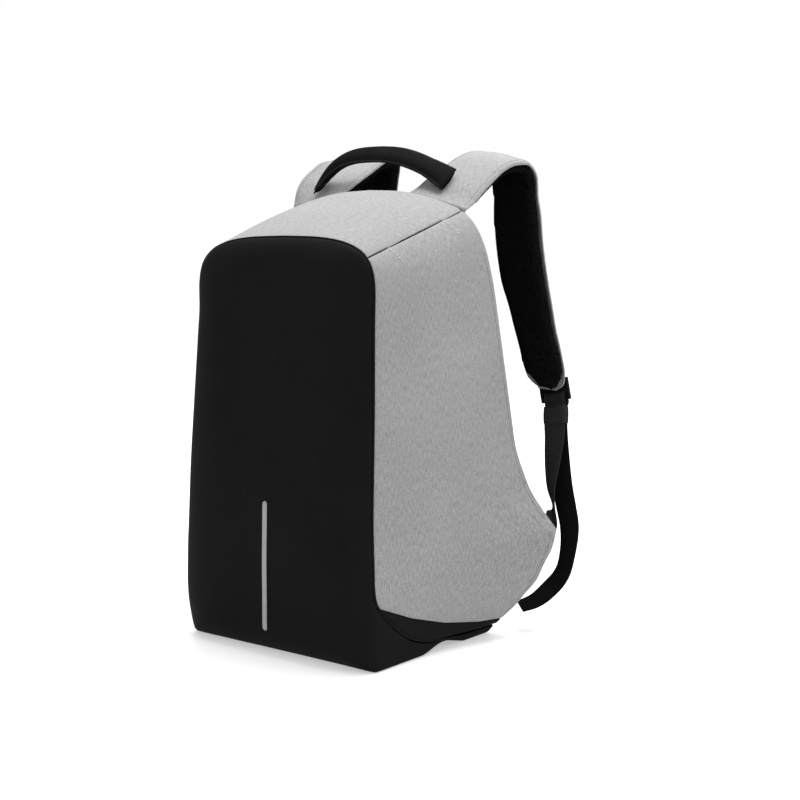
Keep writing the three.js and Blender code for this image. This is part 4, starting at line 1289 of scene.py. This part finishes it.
def loopFrames(barDown, turn, legs):
    # Frames of webbing round one bar of the buckle
    radius = webbing["buckleThickness"] / 2 + webbing["clearance"] + webbing["thickness"] / 2 + webbing["ease"]
    reach = webbing["bar"] / 2 + webbing["clearance"] + webbing["thickness"] / 2 + webbing["slack"]
    frames = []

    def push(depth, drop, out):
        middle = buckleMiddle + backwards * depth + buckleDown * (barDown + drop)
        frames.append((middle, buckleAcross, out, webbing["width"]))

    push(-radius, turn * legs, -backwards)
    for step in range(7):
        angle = math.pi * step / 6
        out = -math.cos(angle) * backwards - turn * math.sin(angle) * buckleDown
        push(-radius * math.cos(angle), -turn * reach * math.sin(angle), out)
    push(radius, turn * legs, backwards)
    return frames


def wingFrame():
    # Where the webbing is sewn to the wing
    def tipPlace(index):
        row = dict(zip(sectionNames, sectionRows[index]))
        z = row["backZ"] * bag["bodyHeight"]
        return np.array((row["backX"] * bag["backHalfWidth"] + row["wing"] * bag["wingReach"], 0, z))

    upper, lower = tipPlace(wingRow - 1), tipPlace(wingRow)
    upper[1], lower[1] = (float(backFace(point[2])) - bag["backRound"] for point in (upper, lower))
    middle = (upper + lower) / 2
    middle -= (webbing["wingInset"], 0, webbing["wingDrop"])
    middle[1] = float(backFace(middle[2])) + webbing["clearance"] + webbing["thickness"] / 2
    return middle, unit(lower - upper), -backwards, float(np.linalg.norm(lower - upper))


def fineFrames(frames, step):
    data = np.array([[*place, *across, *normal, width] for place, across, normal, width in frames])
    places = runLength(data[:, 0:3])
    wanted = np.linspace(0, places[-1], int(places[-1] / step))
    fine = hermite(data, np.gradient(data, places, axis=0), places, wanted)
    across, normal = unit(fine[:, 3:6]), fine[:, 6:9]
    normal = unit(normal - across * np.einsum("ij,ij->i", normal, across)[:, None])
    return fine[:, 0:3], across, normal, fine[:, 9]


def addRibbon(name, frames, sign, node, layers=1.0):
    middle, across, normal, width = fineFrames(frames, webbing["step"])
    half = layers * webbing["thickness"] / 2 - webbing["thinner"]

    def heights(q):
        return np.full(len(middle), half * (1.0 if abs(q) < 0.93 else (0.55 if abs(q) < 1 else 0.05)))

    sides = np.concatenate([[-1, -0.985, -0.92], np.linspace(-0.8, 0.8, 7), [0.92, 0.985, 1]])
    grid = bandGrid(middle, across, normal, width, heights, sides)
    lane = np.concatenate([sides, sides[::-1]]) * webbing["width"] / 2
    run = runLength(middle)[:, None]
    uvs = np.stack([np.broadcast_to(part, grid.shape[:2]) for part in (lane, run)], 2)
    piece = gridPiece(name, grid, materials["webbing"], sign, uvs, closed=True)
    outwards(piece)
    finish(piece, "webbing", node)


def addBuckle(label):
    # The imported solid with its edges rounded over
    node = "buckle_" + label.lower()
    shape = bmesh.new()
    shape.from_mesh(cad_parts[node].data)
    bmesh.ops.remove_doubles(shape, verts=shape.verts, dist=1e-6)
    bmesh.ops.dissolve_limit(shape, angle_limit=math.radians(2), verts=shape.verts, edges=shape.edges)
    bmesh.ops.recalc_face_normals(shape, faces=shape.faces)
    mesh = bpy.data.meshes.new("buckle" + label)
    shape.to_mesh(mesh)
    shape.free()
    mesh.materials.append(materials["buckle_plastic"])
    piece = addObject("buckle" + label, mesh)
    edge = piece.modifiers.new("rounded", "BEVEL")
    edge.width = webbing["buckleRound"]
    edge.segments = 3
    edge.limit_method = "ANGLE"
    applyModifiers(piece)
    piece.data.polygons.foreach_set("use_smooth", [True] * len(piece.data.polygons))
    even = piece.modifiers.new("even", "WEIGHTED_NORMAL")
    even.keep_sharp = True
    applyModifiers(piece)
    finish(piece, "buckle_plastic", node)


keeper = {"height": 17 * mm, "width": 27.6 * mm, "depth": 9.2 * mm, "wall": 1.0 * mm, "sides": 48, "rings": 7,
          "squareness": (0.35, 0.6), "pinch": 0.03}


def addKeeper(label, sign):
    # A soft loop of the same weave round both lengths of webbing
    place = lambda row: np.array(row[:3]) * lowerScale + lowerShift
    ends = [(place(legPath[index]) + place(tailPath[index])) / 2 for index in (0, 1)]
    up = unit(ends[0] - ends[1])
    across = unit(np.array((1.0, 0, 0)) - up * up[0])
    out = np.cross(up, across)
    angles = np.linspace(0, 2 * math.pi, keeper["sides"], endpoint=False)
    cosines, sines = np.cos(angles), np.sin(angles)
    wide = np.sign(cosines) * np.abs(cosines) ** keeper["squareness"][0] * keeper["width"] / 2
    deep = np.sign(sines) * np.abs(sines) ** keeper["squareness"][1] * keeper["depth"] / 2
    rings = []
    for height in np.linspace(-0.5, 0.5, keeper["rings"]):
        pinch = 1 - keeper["pinch"] * (2 * height) ** 2
        middle = (ends[0] + ends[1]) / 2 + up * height * keeper["height"]
        rings.append(middle + (across * wide[:, None] + out * deep[:, None]) * pinch)
    grid = np.stack(rings)
    count, sides = grid.shape[:2]
    run = runLength(np.concatenate([grid[0], grid[0][:1]]))[:-1]
    heights = np.linspace(0, keeper["height"], count)[:, None]
    uvs = np.stack([np.broadcast_to(part, (count, sides)) for part in (heights, run)], 2)
    piece = gridPiece("keeper" + label, grid, materials["webbing"], sign, uvs, closed=True, caps=False)
    faceOutAt(piece, Vector(flip(out, sign)), flip(grid[count // 2, sides // 4], sign))
    addWall(piece, keeper["wall"])
    finish(piece, "buckle_plastic", "keeper_" + label.lower())


pitch = webbing["bar"] + webbing["slot"]
leg = [(middle, across, -normal, width) for middle, across, normal, width in pathFrames(legPath)[::-1]]
webbingFrames = [wingFrame(), *leg, *loopFrames(pitch, 1, webbing["bar"]), *pathFrames(tailPath)]
upperLoop = loopFrames(-pitch, -1, webbing["loopLength"])
for label, sign in bothSides:
    lower = label.lower()
    addRibbon("webbing" + label, webbingFrames, sign, "webbing_" + lower)
    addRibbon("buckleLoop" + label, upperLoop, sign, "buckle_loop_" + lower, webbing["loopLayers"])
    addBuckle(label)
    addKeeper(label, sign)
print("webbing and buckles made")

ticks = {"shares": (0.20, 0.76), "run": 7 * mm, "fall": 11 * mm, "below": 1.5 * mm, "radius": 0.65 * mm}
hem = {"inset": 4.2 * mm, "wingStart": (-21 * mm, 14 * mm), "wingEnd": (-6 * mm, -16 * mm),
       "bottom": 24 * mm, "wingGap": 3 * mm, "top": 0.86, "lift": 0.15 * mm}


def sideDrop(cloth, sign, places):
    # Side view places dropped onto the side cloth from outside
    out = Vector((sign, 0, 0))
    starts = (Vector((sign * dropLook["sideStart"], y, z)) for y, z in places)
    landed = (cloth.tree.ray_cast(start, -out, dropLook["sideReach"])[0] for start in starts)
    return [tuple(point + out * hem["lift"]) for point in landed if point is not None]


def addSideStitches():
    light, dark = [], []
    start, end = sidePath(topSeamEnds)
    fold = np.array((float(backFace(wingHeight)), wingHeight))
    foldStart, foldEnd = fold + hem["wingStart"], fold + hem["wingEnd"]
    hemHeights = (np.linspace(hem["bottom"], wingHeight - hem["wingGap"], 60),
                  np.linspace(wingHeight + hem["wingGap"], bag["bodyHeight"] * hem["top"], 110))
    for label, sign in bothSides:
        cloth = Surface(bpy.data.objects["sideCloth" + label])
        for share in ticks["shares"]:
            y, z = start + (end - start) * share
            steps = np.linspace(-0.05, 1, 10)
            places = [(y + ticks["run"] * t, z - ticks["below"] - ticks["fall"] * t) for t in steps]
            light.append(sideDrop(cloth, sign, places))
        for heights in hemHeights:
            places = [(float(backFace(z)) - hem["inset"] - bag["backRound"], z) for z in heights]
            dark.append(sideDrop(cloth, sign, places))
        places = [tuple(foldStart + (foldEnd - foldStart) * t) for t in np.linspace(0, 1, 24)]
        dark.append(sideDrop(cloth, sign, places))
    addStitches("seamTicks", "heather_fabric", light, "lightThread", radius=ticks["radius"])
    addStitches("hemStitches", "heather_fabric", dark, "greyThread")


addSideStitches()
strip = {"width": 5 * mm, "length": 124 * mm, "bottom": 24.7 * mm, "lift": 0.35 * mm, "thickness": 0.7 * mm}


def addStrip():
    front = Surface(bpy.data.objects["frontCloth"])
    radius = strip["width"] / 2
    heights = np.linspace(0, strip["length"], 90)
    fromEnd = np.minimum(heights, strip["length"] - heights)
    half = np.where(fromEnd < radius, np.sqrt(np.maximum(radius**2 - (radius - fromEnd) ** 2, 1e-9)), radius)
    lanes = np.array([-1, -0.9, -0.5, 0, 0.5, 0.9, 1])
    drops = np.array([-0.25, 0, 0.05, 0.07, 0.05, 0, -0.25]) * mm
    grid = np.zeros((len(heights), len(lanes), 3))
    for j, (lane, fall) in enumerate(zip(lanes, drops)):
        points = np.stack([half * lane, np.full(len(heights), -0.12), strip["bottom"] + heights], 1)
        landed = front.drop(points + (0, 0.012, 0), np.tile((0, -1.0, 0), (len(points), 1)), 0)
        grid[:, j] = landed + np.array((0, -1.0, 0)) * (strip["lift"] + fall)
    grid[:, :, 1] = smoothed(grid[:, :, 1], 6)
    piece = gridPiece("reflectiveTape", grid, materials["reflective"], 1, gridUvs(grid))
    faceOutAt(piece, Vector((0, -1, 0)), grid[45, 3])
    addWall(piece, strip["thickness"], 1)
    finish(piece, "reflective", "reflective_strip")


addStrip()

backLook = {"padHeight": 5.5 * mm, "padX": (14 * mm, 24 * mm, 96 * mm, 108 * mm),
            "padZ": (176 * mm, 188 * mm, 386 * mm, 400 * mm), "lowX": (104 * mm, 118 * mm),
            "lowZ": (112 * mm, 122 * mm, 160 * mm, 172 * mm),
            "channel": 290 * mm, "channelWidth": 3 * mm, "channelDepth": 0.6}


def backSwell(columns):
    # Two long pads with a channel across them, above a pad across the lower back
    x, z = np.abs(columns[:, 0]), columns[:, 2]
    outward = smoothStep(columns[:, 4], 0.5, 0.9)
    upper = hump(x, *backLook["padX"]) * hump(z, *backLook["padZ"])
    low = (1 - smoothStep(x, *backLook["lowX"])) * hump(z, *backLook["lowZ"])
    channel = np.exp(-(((z - backLook["channel"]) / backLook["channelWidth"]) ** 2)) * backLook["channelDepth"]
    return outward * backLook["padHeight"] * (upper * (1 - channel) + low)


backSide = lambda row: row[column["back"]] > gap
addPanel("backCloth", "back_panel", "padded_mesh", backSide, ("back",), 0.3, backSwell)
print("back made")

studio = {"floor": 0.60, "glow": 0.42, "key": 96.0, "fill": 5.0, "rim": 3.0, "world": 1.0}


def addFloor():
    mesh = bpy.data.meshes.new("studioFloor")
    size = 30.0
    mesh.from_pydata([(-size, -size, 0), (size, -size, 0), (size, size, 0), (-size, size, 0)], [], [(0, 1, 2, 3)])
    paint = Paint("studioFloor", Emission_Strength=studio["glow"], Emission_Color=grey(1.0))
    haze = paint.cloud(paint.place(), 0.6, 2.0)
    paint.feed("Base Color", paint.mixed(haze, grey(studio["floor"]), grey(studio["floor"] * 1.02)))
    paint.feed("Roughness", 0.42 + haze * 0.04)
    mesh.materials.append(paint.material)
    addObject("studioFloor", mesh)


def addLight(name, place, target, size, power):
    data = bpy.data.lights.new(name, "AREA")
    data.shape = "RECTANGLE"
    data.size, data.size_y = size
    data.energy = power
    aim(addObject(name, data), place, target)


addFloor()
world = bpy.data.worlds.new("studioWorld")
world.use_nodes = True
sky = world.node_tree.nodes["Background"]
sky.inputs["Color"].default_value = grey(1.0)
sky.inputs["Strength"].default_value = studio["world"]
bpy.context.scene.world = world
bpy.context.scene.view_settings.view_transform = "Standard"
addLight("key", (0.1, 0.55, 2.4), (0, 0, 0.2), (1.5, 1.5), studio["key"])
addLight("fill", (2.2, -0.4, 1.1), (0, 0, 0.22), (1.6, 1.6), studio["fill"])
addLight("rim", (0.6, 1.9, 1.8), (0, 0, 0.3), (1.2, 1.2), studio["rim"])

print("scene finished")
